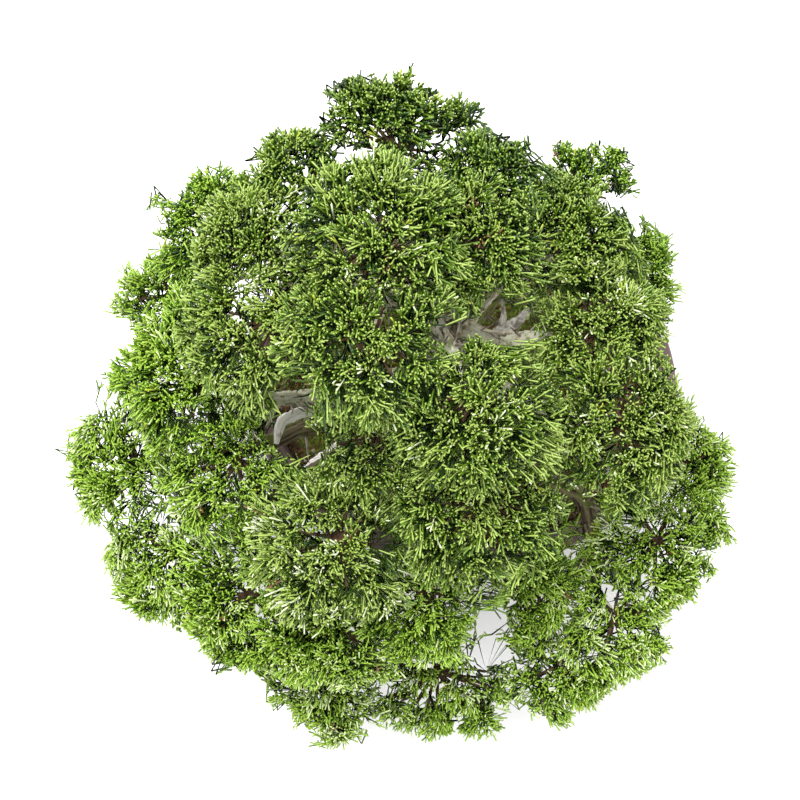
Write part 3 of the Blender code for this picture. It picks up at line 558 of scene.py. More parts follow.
def strips(along, turn, seed, counts, twist):
    """Bark in strips, 0 in a furrow to 1 on a ridge: the mean of |sin(k (a + w s + wander(s)) / 2)|
    over strip counts k, so each strip winds with the limb, wanders, and ends at another."""
    rng = np.random.default_rng(seed)
    total = 0.0
    for count in counts:
        slow, quick = rng.uniform(0, 6.28, 2)
        wander = 0.22 * np.sin(along / (17 * MM) + slow) + 0.09 * np.sin(along / (5.5 * MM) + quick)
        sideways = 0.10 * np.sin(2 * turn + along / (11 * MM) + quick)
        total = total + np.abs(np.sin(count * (turn + twist * along + wander + sideways) / 2 + slow))
    return total / len(counts)


def limb_part(knots, around, spacing, seed, counts=(5, 9, 14), depth=0.13, deepest=0.9 * MM,
              collar=0.0, twist=9.0, knobs=0.05, crust_share=0.035):
    """A limb in its bark: circles of the course's radius, square to it, swollen by a collar
    1 + c exp(-s / 8 mm) where it leaves its parent and by slow knobs, plus the relief of strips
    and of a crust that is thicker in some places than in others."""
    knots = np.asarray(knots, float)
    length = np.linalg.norm(np.diff(knots[:, :3], axis=0), axis=1).sum()
    course = course_through(knots, max(8, int(length / spacing)))
    line, radius = course[:, :3], course[:, 3:4]
    way = unit(np.gradient(line, axis=0))
    flat = np.linalg.svd(line - line.mean(0), full_matrices=True)[2][2]
    one = unit(np.cross(way, flat))
    two = np.cross(way, one)
    along = np.linspace(0, length, len(course))[:, None]
    turn = np.linspace(0, 2 * math.pi, around, endpoint=False)[None]
    ridge = strips(along, turn, seed, counts, twist)
    bumps = np.sin(along / (9 * MM) + seed) + np.sin(along / (4.2 * MM) + 2 * seed + 2 * turn)
    reach = radius * (1 + knobs * bumps)
    reach = reach * (1 + collar * np.exp(-np.maximum(along - 1.6 * radius[0], 0) / (8 * MM)))
    reach = reach + np.minimum(depth * radius, deepest) * (ridge - RIDGE_MEAN) * 2
    outwards = one[:, None] * np.cos(turn)[..., None] + two[:, None] * np.sin(turn)[..., None]
    rows = line[:, None] + reach[..., None] * outwards
    lumps = ripples(rows, 4.5 * MM, seed) + 1.5 * ripples(rows, 11 * MM, 7)
    crust = crust_share * radius[..., None] * lumps[..., None]
    return finished_limb(rows + crust * outwards, ridge, outwards, along, radius)


def finished_limb(rows, ridge, outwards, along, radius):
    """Skin a limb's rows and give its points what its finish needs: the relief, how far they
    face up, and a grain place (r cos a, r sin a, s / GRAIN_DRAWN) drawn out along the limb."""
    part = skin(rows)
    turn = np.linspace(0, 2 * math.pi, rows.shape[1], endpoint=False)[None]
    grain = np.stack((radius * np.cos(turn), radius * np.sin(turn), along / GRAIN_DRAWN + 0 * turn), axis=-1)
    ends = np.zeros((2, 3))
    part["relief"] = np.concatenate((ridge.ravel(), (0.5, 0.5)))
    part["upward"] = np.concatenate((outwards[..., 2].ravel(), (0.0, 0.0)))
    part["grain"] = np.vstack((grain.reshape(-1, 3), ends))
    return part


def flare_reach(turn, radius, height):
    """The trunk's radius: r (1 + f (cos(3 a + h / pitch) + 0.6 cos(5 a + 1.3))), and at the foot
    each root adds (reach - r) exp(-((a - bearing) / width)^2) (1 - h / H)^1.6."""
    share = np.clip(1 - height / FLARE_HEIGHT, 0, 1)
    reach = radius * (1 + FLUTE_DEPTH * (np.cos(3 * turn + height / FLUTE_PITCH)
                                         + 0.6 * np.cos(5 * turn + 1.3)))
    for bearing, root_reach, half_width in ROOT_FLARE:
        off = np.angle(np.exp(1j * (turn - math.radians(bearing)))) / math.radians(half_width)
        reach = reach + (root_reach * MM - radius) * np.exp(-off * off) * share ** FLARE_CURVE
    return reach


def trunk_part(course):
    """The trunk's rings, level at the soil and square to its axis above the flare, with two
    sizes of strip over them, and a sunk foot that goes on straight down into the earth."""
    line, radius = course[:, :3], course[:, 3:4]
    height = line[:, 2:3] - line[0, 2]
    lean = np.minimum(1.0, height / FLARE_HEIGHT)
    way = unit(np.gradient(line, axis=0))
    axis = unit((1 - lean) * (0.0, 0.0, 1.0) + lean * way)
    one = unit((1.0, 0.0, 0.0) - axis * axis[:, :1])
    two = np.cross(axis, one)
    turn = np.linspace(0, 2 * math.pi, 180, endpoint=False)[None]
    along = np.linspace(0, np.linalg.norm(np.diff(line, axis=0), axis=1).sum(), len(line))[:, None]
    ridge = 0.6 * strips(along, turn, 31, (7, 11, 17), 6.0)
    ridge += 0.4 * strips(along, turn, 32, (23, 31), 6.0)
    relief = np.minimum(0.09 * radius, 1.6 * MM) * (ridge - RIDGE_MEAN) * 2
    reach = flare_reach(turn, radius, height) + relief
    reach = reach * (1 + 0.03 * np.sin(along / (13 * MM) + 2 * turn))
    outwards = one[:, None] * np.cos(turn)[..., None] + two[:, None] * np.sin(turn)[..., None]
    rows = line[:, None] + reach[..., None] * outwards
    foot = rows[:1] - (0.0, 0.0, TRUNK_SUNK)
    return finished_limb(
        np.concatenate((foot, rows)),
        np.vstack((ridge[:1], ridge)),
        np.concatenate((outwards[:1], outwards)),
        np.vstack((along[:1] - TRUNK_SUNK, along)),
        np.vstack((radius[:1], radius)),
    )


# Boughs: the limb each leaves, where (mm up the trunk, or a share along a bough), its radius in mm
# at both ends, the mass it ends at, and the bends (mm) that set its course, where it has its own.
BOUGHS = {
    "bough_top_right": ("trunk", 262, (6.0, 3.2), "mass_top_right", ()),
    "bough_top_back": ("trunk", 268, (6.0, 3.0), "mass_upper_back_right", ()),
    "bough_back": ("trunk", 236, (6.5, 3.2), "mass_upper_back", ()),
    "bough_left_high": ("trunk", 214, (6.5, 3.2), "mass_upper_left_back", ()),
    "bough_left_back": ("trunk", 182, (6.8, 3.2), "mass_middle_back_left", ()),
    "bough_right_back": (
        "trunk", 180, (6.5, 3.2), "mass_upper_right_back",
        ((8, 64, 188), (36, 84, 216)),
    ),
    "bough_right_high": (
        "trunk", 212, (6.2, 3.2), "mass_upper_right",
        ((12, 30, 228), (42, 34, 252)),
    ),
    "bough_right": (
        "trunk", 190, (7.0, 3.4), "mass_upper_right_front",
        ((16, 2, 212), (52, -12, 250)),
    ),
    "bough_front_high": (
        "trunk", 232, (6.2, 3.2), "mass_upper_front",
        ((-14, 14, 250), (-8, -22, 272)),
    ),
    "bough_front_left": (
        "trunk", 168, (7.0, 3.2), "mass_upper_front_left",
        ((-44, -22, 205), (-58, -60, 240)),
    ),
    "bough_front_middle": (
        "trunk", 158, (6.8, 3.2), "mass_middle_front_right",
        ((-20, -40, 176), (-18, -84, 202)),
    ),
    "bough_left_middle": (
        "trunk", 150, (8.0, 3.6), "mass_middle_left",
        ((-64, -6, 149), (-95, -17, 152), (-128, -22, 182)),
    ),
    "bough_left_low": (
        "trunk", 118, (8.5, 3.4), "mass_lower_left",
        ((-74, -26, 122), (-105, -38, 132), (-136, -56, 146), (-176, -68, 158)),
    ),
    "bough_left_front": (
        "trunk", 104, (7.5, 3.2), "mass_lower_left_front",
        ((-92, -66, 116), (-132, -98, 138)),
    ),
    "bough_front": (
        "trunk", 138, (7.2, 3.2), "mass_middle_front",
        ((-50, -50, 152), (-64, -104, 184)),
    ),
    "bough_front_low_left": (
        "trunk", 98, (7.0, 3.0), "mass_lower_front_left",
        ((-60, -90, 112), (-72, -150, 138)),
    ),
    "bough_front_low": (
        "trunk", 106, (7.2, 3.0), "mass_lower_front",
        ((-28, -76, 118), (-10, -140, 132)),
    ),
    "bough_back_right_low": (
        "trunk", 150, (7.0, 3.0), "mass_lower_back_right",
        ((0, 44, 148), (30, 90, 150)),
    ),
    "bough_right_low": (
        "trunk", 126, (7.5, 3.2), "mass_lower_far_right",
        ((2, -22, 138), (62, -30, 152), (112, -34, 170)),
    ),
    "bough_right_front": (
        "trunk", 136, (8.0, 3.2), "mass_lower_inner_front",
        ((8, -32, 164), (53, -54, 177), (82, -64, 173), (90, -80, 170),
         (95, -92, 168), (91, -108, 169), (85, -120, 171)),
    ),
    "bough_right_fork": (
        "bough_right_front", 0.74, (4.6, 3.0), "mass_lower_right_front",
        ((99, -106, 166), (98, -124, 166)),
    ),
}

# Masses: centre (mm), half-length along X and Y (mm), the limb that carries the stem and where it
# leaves that limb (a share along it), and how thickly it is leaved: a share of the full sprays.
DENSE = 1.0
AIRY = 0.72
MASSES = {
    "mass_top_back": ((-67, 71, 345), (44, 42), "trunk", 0.93, DENSE),
    "mass_top_front": ((-64, 16, 352), (43, 41), "trunk", 1.0, DENSE),
    "mass_top_right": ((-1, -14, 335), (42, 42), "bough_top_right", 1.0, DENSE),
    "mass_top_back_right": ((-8, 79, 315), (35, 35), "bough_top_back", 0.62, DENSE),
    "mass_upper_back": ((-65, 144, 280), (50, 43), "bough_back", 1.0, DENSE),
    "mass_upper_back_right": ((-8, 125, 285), (34, 34), "bough_top_back", 1.0, DENSE),
    "mass_upper_back_left": ((-117, 113, 272), (37, 37), "bough_back", 0.55, DENSE),
    "mass_upper_left_back": ((-140, 69, 290), (38, 37), "bough_left_high", 1.0, DENSE),
    "mass_upper_left": ((-129, 19, 296), (42, 41), "bough_left_high", 0.80, DENSE),
    "mass_upper_right_back": ((52, 97, 262), (42, 40), "bough_right_back", 1.0, DENSE),
    "mass_upper_right": ((74, 43, 282), (42, 38), "bough_right_high", 1.0, DENSE),
    "mass_upper_right_front": ((91, -17, 290), (48, 45), "bough_right", 1.0, DENSE),
    "mass_upper_front": ((10, -75, 298), (46, 42), "bough_front_high", 1.0, DENSE),
    "mass_upper_front_left": ((-73, -107, 280), (44, 44), "bough_front_left", 1.0, DENSE),
    "mass_upper_inner_front": ((-60, -39, 292), (39, 36), "bough_front_high", 0.50, DENSE),
    "mass_middle_back_left": ((-183, 83, 235), (34, 34), "bough_left_back", 1.0, DENSE),
    "mass_middle_left": ((-178, -15, 245), (49, 45), "bough_left_middle", 1.0, DENSE),
    "mass_middle_left_front": ((-145, -68, 225), (45, 42), "bough_left_middle", 0.66, DENSE),
    "mass_middle_front_right": ((-19, -134, 238), (46, 42), "bough_front_middle", 1.0, DENSE),
    "mass_middle_front": ((-75, -165, 226), (45, 44), "bough_front", 1.0, DENSE),
    "mass_middle_front_left": ((-128, -156, 204), (45, 50), "bough_left_front", 0.72, DENSE),
    "mass_lower_back_right": ((62, 142, 170), (40, 34), "bough_back_right_low", 1.0, AIRY),
    "mass_lower_right_back": ((107, 78, 182), (28, 50), "bough_back_right_low", 0.66, DENSE),
    "mass_lower_back_left": ((-205, 35, 195), (38, 32), "bough_left_back", 0.80, AIRY),
    "mass_lower_left": ((-221, -78, 178), (43, 43), "bough_left_low", 1.0, DENSE),
    "mass_lower_left_front": ((-184, -137, 172), (47, 45), "bough_left_front", 1.0, DENSE),
    "mass_lower_front_left": ((-72, -214, 165), (40, 39), "bough_front_low_left", 1.0, DENSE),
    "mass_lower_front": ((2, -204, 150), (60, 43), "bough_front_low", 1.0, AIRY),
    "mass_lower_front_right": ((79, -188, 165), (40, 38), "bough_right_fork", 0.78, DENSE),
    "mass_lower_right_front": ((117, -147, 185), (38, 44), "bough_right_fork", 1.0, DENSE),
    "mass_lower_inner_front": ((54, -132, 192), (31, 35), "bough_right_front", 1.0, DENSE),
    "mass_lower_right": ((139, -95, 190), (45, 45), "bough_right_low", 0.72, DENSE),
    "mass_lower_far_right": ((150, -37, 200), (31, 34), "bough_right_low", 1.0, DENSE),
}
MASS_FLATNESS = 0.60  # a mass's half-height over its mean half-length
STEM_RADII = (2.8 * MM, 1.8 * MM)
SHORT_STEM = 6 * MM
ENTRY_SLOPE = 0.62

masses = list(MASSES)
mass_centres = np.array([MASSES[name][0] for name in masses], float) * MM
mass_spans = np.array([MASSES[name][1] for name in masses], float) * MM
mass_sizes = np.column_stack((mass_spans, MASS_FLATNESS * mass_spans.mean(1)))


def entry_point(mass, origin, depth):
    """Where a limb that comes from origin meets a mass, low on its inner side."""
    centre, size = mass_centres[masses.index(mass)], mass_sizes[masses.index(mass)]
    towards = (origin[:3] - centre) / size
    towards[2] = 0.0
    towards[2] = -max((centre[2] - origin[2]) / size[2], ENTRY_SLOPE * np.linalg.norm(towards))
    return centre + depth * unit(towards) * size


def bough_knots(name, limbs):
    """The points a bough's course runs through, from its parent's axis to its mass, in a row of
    (x, y, z, radius): its own bends, or two that stray a little sideways by its own seed."""
    parent, place, (root_radius, tip_radius), mass, bends = BOUGHS[name]
    if parent == "trunk":
        trunk = limbs["trunk"]
        root = trunk[np.abs(trunk[:, 2] - place * MM).argmin()][:3].copy()
        root[2] = place * MM
    else:
        root = at_share(limbs[parent], place)[:3]
    if bends:
        middle = [np.array(bend) * MM for bend in bends]
        tip = entry_point(mass, middle[-1], 1.0)
    else:
        rng = random.Random(name)
        tip = entry_point(mass, root, 1.0)
        span = tip - root
        middle = []
        for share, lift in ((0.34, 0.05), (0.68, -0.03)):
            bend = root + span * share + np.array((-span[1], span[0], 0.0)) * rng.uniform(-0.09, 0.09)
            bend[2] += lift * np.linalg.norm(span)
            middle.append(bend)
    points = np.array([root, *middle, tip])
    radii = np.linspace(root_radius, tip_radius, len(points)) * MM
    return np.column_stack((points, radii))


def stem_knots(name, limbs):
    """The points a mass's stem runs through: out of its limb, in at the edge, up to the heart."""
    _, _, carrier, place, _ = MASSES[name]
    root = at_share(limbs[carrier], place)[:3]
    entry = entry_point(name, root, 1.0)
    heart = entry_point(name, root, 0.25)
    if np.linalg.norm(entry - root) < SHORT_STEM:
        entry = (root + heart) / 2
    return np.column_stack((np.array([root, entry, heart]), np.linspace(*STEM_RADII, 3)))


trunk_knots = np.array(TRUNK_COURSE, float) * MM
trunk_knots[0, 2] = SOIL_TOP + 0.3 * MM
limbs = {"trunk": course_through(trunk_knots, TRUNK_RINGS)}
knots_of = {}
for bough in BOUGHS:
    knots_of[bough] = bough_knots(bough, limbs)
    limbs[bough] = course_through(knots_of[bough], 7 + len(BOUGHS[bough][4]))


def juniper_bark(name, tan, pale, bare):
    """Fibrous juniper bark: dark brown in its furrows, tan to pale on weathered ridges, crusts of
    grey green lichen 11 mm and moss 17 mm wide on what faces up, more lichen the lower bare is;
    fibres 0.9 mm apart, drawn out nine times, run along the limb."""
    made, tree, shader = new_material(name, 0.88, Specular_IOR_Level=0.25)
    relief = add_node(tree, "ShaderNodeAttribute", attribute_name="relief")
    upward = add_node(tree, "ShaderNodeAttribute", attribute_name="upward")
    grain = add_node(tree, "ShaderNodeAttribute", attribute_name="grain")
    place = add_node(tree, "ShaderNodeTexCoord").outputs["Object"]
    fibre = add_node(tree, "ShaderNodeTexNoise", {
        "Vector": grain.outputs["Vector"], "Scale": 1 / (0.9091 * MM), "Detail": 4.0,
    })
    height = add_node(tree, "ShaderNodeMath", {0: fibre.outputs[0], 1: 0.55, 2: relief.outputs["Fac"]},
                      operation="MULTIPLY_ADD")
    bark = add_node(tree, "ShaderNodeValToRGB", {0: height.outputs[0]})
    bark.color_ramp.elements[0].position = 0.55
    bark.color_ramp.elements[0].color = linear("#2b2018")
    bark.color_ramp.elements[1].position = 1.0
    bark.color_ramp.elements[1].color = linear(pale)
    middle = bark.color_ramp.elements.new(0.80)
    middle.color = linear(tan)
    patches = add_node(tree, "ShaderNodeTexNoise", {
        "Vector": place, "Scale": 1 / (10.53 * MM), "Detail": 5.0, "Roughness": 0.75,
    })
    facing = add_node(tree, "ShaderNodeMath", {0: upward.outputs["Fac"], 1: 0.10, 2: patches.outputs[0]},
                      operation="MULTIPLY_ADD")
    lichen = add_node(tree, "ShaderNodeMapRange", {
        "Value": facing.outputs[0], "From Min": bare, "From Max": bare + 0.06, "To Max": 0.8,
    })
    crusted = add_node(tree, "ShaderNodeMix", {
        0: lichen.outputs[0], 6: bark.outputs[0], 7: linear("#d3d4bd"),
    }, data_type="RGBA")
    cushions = add_node(tree, "ShaderNodeTexNoise", {
        "Vector": place, "Scale": 1 / (16.67 * MM), "Detail": 5.0, "Roughness": 0.7,
    })
    shaded = add_node(tree, "ShaderNodeMath", {0: upward.outputs["Fac"], 1: 0.12, 2: cushions.outputs[0]},
                      operation="MULTIPLY_ADD")
    mossy = add_node(tree, "ShaderNodeMapRange", {
        "Value": shaded.outputs[0], "From Min": 0.60, "From Max": 0.70, "To Max": 0.85,
    })
    colour = add_node(tree, "ShaderNodeMix", {
        0: mossy.outputs[0], 6: crusted.outputs[2], 7: linear("#66742f"),
    }, data_type="RGBA")
    tree.links.new(colour.outputs[2], shader.inputs["Base Color"])
    bump = add_node(tree, "ShaderNodeBump", {
        "Strength": 0.7, "Distance": 0.6 * MM, "Height": fibre.outputs[0],
    })
    tree.links.new(bump.outputs[0], shader.inputs["Normal"])
    return made


bark = juniper_bark("Juniper bark, weathered and lichened", "#86775b", "#c2b89c", 0.49)
# A darker copy of the bark for the low boughs: painted shade for where they stand under the crown, with less
# lichen.
bark_painted_shade = juniper_bark("Juniper bark, painted darker for shade", "#4a3f30", "#786c57", 0.72)
new_piece("trunk_bark", trunk_part(course_through(trunk_knots, 330)), [bark], ["trunk"])
low_boughs = [bough for bough in BOUGHS if any(part in bough for part in ("low", "front", "fork"))]
high_boughs = [bough for bough in BOUGHS if bough not in low_boughs]
for piece, members, finish in (
    ("boughs_low_bark", low_boughs, bark_painted_shade),
    ("boughs_high_bark", high_boughs, bark),
):
    parts = [
        limb_part(knots_of[bough], 40, 1.1 * MM, 40 + k, collar=0.45)
        for k, bough in enumerate(members)
    ]
    new_piece(piece, joined(parts), [finish], members)

# ---------------------------------------------------------------------------------------------
# Dead wood: limbs that died and were stripped of bark, bleached nearly white by sun and lime
# sulphur. The grain opens into fine checks that run along the wood to a splintered tip.
# ---------------------------------------------------------------------------------------------
# Each limb's branches, as courses of (x, y, z, radius) in mm.
DEADWOOD = {
    "deadwood_foot": (
        ((-58, -52, 86, 12.5), (-78, -58, 88, 11.5), (-92, -66, 88, 9.0),
         (-105, -74, 87, 5.5), (-119, -81, 84, 1.0)),
    ),
    "deadwood_left": (
        ((-88, -17, 151, 4.6), (-100, -27, 152, 4.2), (-112, -31, 158, 3.8),
         (-121, -38, 162, 3.4), (-123, -52, 166, 1.6)),
    ),
    "deadwood_right": (
        ((-16, 28, 186, 5.0), (2, 25, 191, 4.4), (16, 37, 200, 3.6),
         (27, 45, 205, 3.0), (36, 54, 210, 2.4), (48, 50, 216, 0.9)),
        ((16, 37, 200, 2.4), (17, 47, 202, 2.0), (15, 58, 203, 0.8)),
        ((14, 35, 199, 2.4), (24, 33, 203, 1.9), (33, 35, 208, 0.8)),
    ),
}


def silver_wood(name, sound):
    """Bleached heartwood: off white to silver grey, warm in its checks, dull as chalk, with fibres
    0.8 mm apart, and weathered brown in patches 14 mm wide, more of them the lower sound is."""
    made, tree, shader = new_material(name, 0.82, Specular_IOR_Level=0.3)
    relief = add_node(tree, "ShaderNodeAttribute", attribute_name="relief")
    grain = add_node(tree, "ShaderNodeAttribute", attribute_name="grain")
    fibre = add_node(tree, "ShaderNodeTexNoise", {
        "Vector": grain.outputs["Vector"], "Scale": 1 / (0.7692 * MM), "Detail": 3.0,
    })
    height = add_node(tree, "ShaderNodeMath", {0: fibre.outputs[0], 1: 0.5, 2: relief.outputs["Fac"]},
                      operation="MULTIPLY_ADD")
    wood = add_node(tree, "ShaderNodeValToRGB", {0: height.outputs[0]})
    wood.color_ramp.elements[0].position = 0.38
    wood.color_ramp.elements[0].color = linear("#5b4d3e")
    wood.color_ramp.elements[1].position = 0.85
    wood.color_ramp.elements[1].color = linear("#f7f4ec")
    silver = wood.color_ramp.elements.new(0.60)
    silver.color = linear("#ddd8cd")
    place = add_node(tree, "ShaderNodeTexCoord").outputs["Object"]
    weather = add_node(tree, "ShaderNodeTexNoise", {
        "Vector": place, "Scale": 1 / (14.29 * MM), "Detail": 4.0, "Roughness": 0.7,
    })
    brown = add_node(tree, "ShaderNodeMapRange", {
        "Value": weather.outputs[0], "From Min": sound, "From Max": sound + 0.12, "To Max": 0.85,
    })
    colour = add_node(tree, "ShaderNodeMix", {
        0: brown.outputs[0], 6: wood.outputs[0], 7: linear("#74685a"),
    }, data_type="RGBA")
    tree.links.new(colour.outputs[2], shader.inputs["Base Color"])
    bump = add_node(tree, "ShaderNodeBump", {
        "Strength": 0.6, "Distance": 0.5 * MM, "Height": fibre.outputs[0],
    })
    tree.links.new(bump.outputs[0], shader.inputs["Normal"])
    return made


# How sound the wood of each finish is, and the limbs that have it.
DEADWOOD_FINISHES = {
    "bleached": (0.64, ["deadwood_foot", "deadwood_left"]),
    "weathered": (0.40, ["deadwood_right"]),
}
for finish, (sound, members) in DEADWOOD_FINISHES.items():
    parts = []
    for name in members:
        for k, branch in enumerate(DEADWOOD[name]):
            knots = np.array(branch, float) * MM
            limbs[f"{name}_{k}"] = course_through(knots, len(branch) + 1)
            parts.append(limb_part(knots, 36, 0.8 * MM, 71 + len(parts), counts=(4, 9, 15),
                                   depth=0.2, deepest=1.1 * MM, twist=14.0, knobs=0.03))
    wood = silver_wood(f"Juniper heartwood, {finish}", sound)
    new_piece(f"dead_wood_{finish}", joined(parts), [wood], members)

# ---------------------------------------------------------------------------------------------
# Twigs: the stem of each foliage mass comes off its limb in the trunk's own bark and divides into
# a twig for every tuft: young juniper wood, thin barked, dark brown. Dead twiglets, grey and bare,
# are left where the crown took their light. The crown's gaps and bays are set out here too.
# ---------------------------------------------------------------------------------------------
TUFTS_PER_AREA = 1 / 115  # for each square millimetre of half-length times half-length
TUFT_DEPTH = 20 * MM  # how far in from a mass's outline a tuft springs
TUFT_LOWEST = -0.35  # how far down a mass's underside its tufts go, as a rise
TUFT_DISORDER = 0.12
FEWEST_TUFTS = 5
GOLDEN_ANGLE = math.pi * (3 - math.sqrt(5))
TWIG_SAG = 3 * MM
TWIG_DISORDER = 2.0 * MM
TWIG_RADII = (1.5, 0.75)  # mm, at its foot and tip
BARE_TWIGS = 18  # on each limb
BARE_TWIG_LENGTH = (10, 34)  # mm
BARE_TWIG_RADII = (1.2, 0.35)  # mm, at its foot and tip
# Gaps in the crown: leaning shafts kept free of foliage, each by its centre (x, y) in mm at the
# low height and at the high height, and its radius in mm.
GAP_LOW = 150 * MM
GAP_HIGH = 350 * MM
GAP_RAGGED = 2.5 * MM
GAPS = (
    ((-116, -23), (-103, -21), 12), ((-104, -53), (-93, -46), 12), ((-124, -45), (-110, -39), 7),
    ((21, 46), (10, 36), 15), ((-14, 37), (-19, 28), 10), ((89, -79), (66, -68), 4),
    ((95, -110), (71, -93), 2), ((34, -158), (21, -133), 10), ((29, -135), (16, -114), 6),
    ((-44, -110), (-44, -93), 8), ((109, -132), (82, -111), 5), ((29, -180), (16, -151), 7),
    ((40, -176), (25, -148), 8),
    # Bays in the crown's outline.
    ((-127, 176), (-113, 143), 11), ((-106, 151), (-95, 122), 2), ((-222, 92), (-190, 73), 6),
    ((-222, 73), (-191, 58), 5), ((-241, 4), (-207, 0), 8), ((-257, -36), (-220, -32), 11),
    ((-237, -129), (-204, -109), 6), ((-167, -196), (-146, -165), 8), ((-101, -238), (-91, -199), 8),
    ((-36, -237), (-38, -198), 5), ((60, -223), (42, -186), 10), ((159, -151), (124, -127), 8),
    ((185, -99), (145, -84), 6), ((178, -4), (139, -6), 10), ((139, 95), (107, 76), 8),
    ((142, 55), (110, 43), 8), ((100, 133), (75, 108), 10), ((33, 164), (20, 133), 8),
    ((8, 181), (-1, 147), 9), ((59, 175), (41, 142), 5), ((-48, 209), (-48, 170), 8),
    ((-215, 112), (-185, 90), 8), ((-240, 11), (-206, 6), 9), ((-186, -194), (-161, -163), 7),
    ((-121, -220), (-107, -184), 8), ((-84, -253), (-77, -211), 8), ((74, -226), (54, -190), 8),
    ((182, -120), (142, -101), 9), ((84, 136), (62, 110), 6), ((120, 123), (92, 99), 6),
    ((114, 134), (87, 108), 8), ((144, 40), (111, 31), 8), ((168, 2), (131, -1), 6),
    ((139, -192), (107, -161), 6), ((-149, 164), (-131, 135), 7),
)


def spiral(count, lowest):
    """Even directions over a cap: rise falls from 1 to lowest, bearing turns by the golden angle."""
    k = np.arange(count)
    rise = 1 - (1 - lowest) * (k + 0.5) / count
    level = np.sqrt(1 - rise * rise)
    return np.stack((level * np.cos(k * GOLDEN_ANGLE), level * np.sin(k * GOLDEN_ANGLE), rise), axis=-1)


def tuft_places():
    """Tufts lie on a golden-angle spiral over each mass's dome, with some disorder, and each
    springs from a point TUFT_DEPTH in, square to the outline, or less where the mass is too
    flat for that: rows of (mass, crest, source)."""
    found = []
    for mass in range(len(masses)):
        rng = np.random.default_rng(500 + mass)
        size = mass_sizes[mass]
        count = max(FEWEST_TUFTS, round(TUFTS_PER_AREA * size[0] * size[1] / MM ** 2))
        even = spiral(count, TUFT_LOWEST) @ turned(rng.uniform(0, 6.28))
        way = unit(even + rng.normal(0, TUFT_DISORDER, (count, 3)))
        crest = mass_centres[mass] + way * size
        depth = np.minimum(TUFT_DEPTH, 0.8 * size[2] / np.maximum(way[:, 2:], 0.45))
        found.append((np.full(count, mass), crest, crest - unit(way / size) * depth))
    return [np.concatenate(column) for column in zip(*found)]


def turned(angle):
    """The matrix that turns about +Z: rows (c, -s, 0), (s, c, 0), (0, 0, 1)."""
    c, s = math.cos(angle), math.sin(angle)
    return np.array(((c, -s, 0.0), (s, c, 0.0), (0.0, 0.0, 1.0)))


def tubes_part(paths, radii, sides):
    """Many thin tubes at once: paths (n, m, 3) with radii (n, m), each a ring of few sides at
    every point, square to the path, and closed at both ends by its middle point."""
    count, steps = paths.shape[:2]
    way = unit(np.gradient(paths, axis=1))
    flat = across(unit(paths[:, -1] - paths[:, 0]))[0][:, None]
    one = unit(np.cross(way, flat))
    two = np.cross(way, one)
    turn = (np.arange(sides) * 2 * math.pi / sides)[:, None]
    ring = one[:, :, None] * np.cos(turn) + two[:, :, None] * np.sin(turn)
    points = paths[:, :, None] + ring * radii[..., None, None]
    points = np.concatenate((points.reshape(count, -1, 3), paths[:, :1], paths[:, -1:]), axis=1)
    index = np.arange(steps * sides).reshape(steps, sides)
    after = np.roll(index, -1, axis=1)
    quads = np.stack((index[:-1], after[:-1], after[1:], index[1:]), axis=-1).reshape(-1, 4)
    low, high = np.full(sides, steps * sides), np.full(sides, steps * sides + 1)
    caps = np.vstack((
        np.stack((after[0], index[0], low), axis=-1),
        np.stack((index[-1], after[-1], high), axis=-1),
    ))
    base = (np.arange(count) * (steps * sides + 2))[:, None, None]
    return {
        "points": points.reshape(-1, 3),
        "quads": (base + quads).reshape(-1, 4),
        "triangles": (base + caps).reshape(-1, 3),
    }


def arched(starts, bends, ends, steps):
    """Quadratic curves (1 - t)^2 a + 2 t (1 - t) b + t^2 c, one for each row."""
    t = np.linspace(0, 1, steps)[:, None]
    return (1 - t) ** 2 * starts[:, None] + 2 * t * (1 - t) * bends[:, None] + t * t * ends[:, None]


stems = {name: stem_knots(name, limbs) for name in masses}
for name in masses:
    limbs[name + "_stem"] = course_through(stems[name], 5)
tuft_mass, tuft_crest, tuft_source = tuft_places()
heart = np.array([stems[name][-1, :3] for name in masses])[tuft_mass]
twig_rng = np.random.default_rng(600)
twig_bend = heart + (tuft_source - heart) * 0.55 - (0, 0, TWIG_SAG)
twig_bend += twig_rng.normal(0, TWIG_DISORDER, heart.shape)
twig_paths = arched(heart, twig_bend, tuft_source, 8)
twig_radii = np.linspace(*TWIG_RADII, 8) * MM * twig_rng.uniform(0.8, 1.15, (len(heart), 1))


def bare_twigs():
    """Paths of dead twiglets on the trunk and boughs, from a tenth to three quarters of the way
    along each: an arch from a foot on the limb's axis, out at random, to a tip that turns up."""
    rng = np.random.default_rng(610)
    foot, bend, tip = [], [], []
    for knots in (trunk_knots, *knots_of.values()):
        course = course_through(knots, 200)
        at = rng.integers(20, 150, BARE_TWIGS)
        way = unit(rng.normal(0, 1, (BARE_TWIGS, 3)) + (0, 0, 0.7))
        length = rng.uniform(*BARE_TWIG_LENGTH, (BARE_TWIGS, 1)) * MM
        foot.append(course[at, :3])
        bend.append(course[at, :3] + way * length * 0.6 + rng.normal(0, 2.5 * MM, way.shape))
        tip.append(course[at, :3] + unit(way + (0, 0, 0.4)) * length)
    return arched(*map(np.concatenate, (foot, bend, tip)), 7)


stem_parts = [
    limb_part(stems[name], 14, 1.6 * MM, 90 + k, counts=(3, 5), depth=0.1)
    for k, name in enumerate(masses)
]
new_piece("stem_bark", joined(stem_parts), [bark])

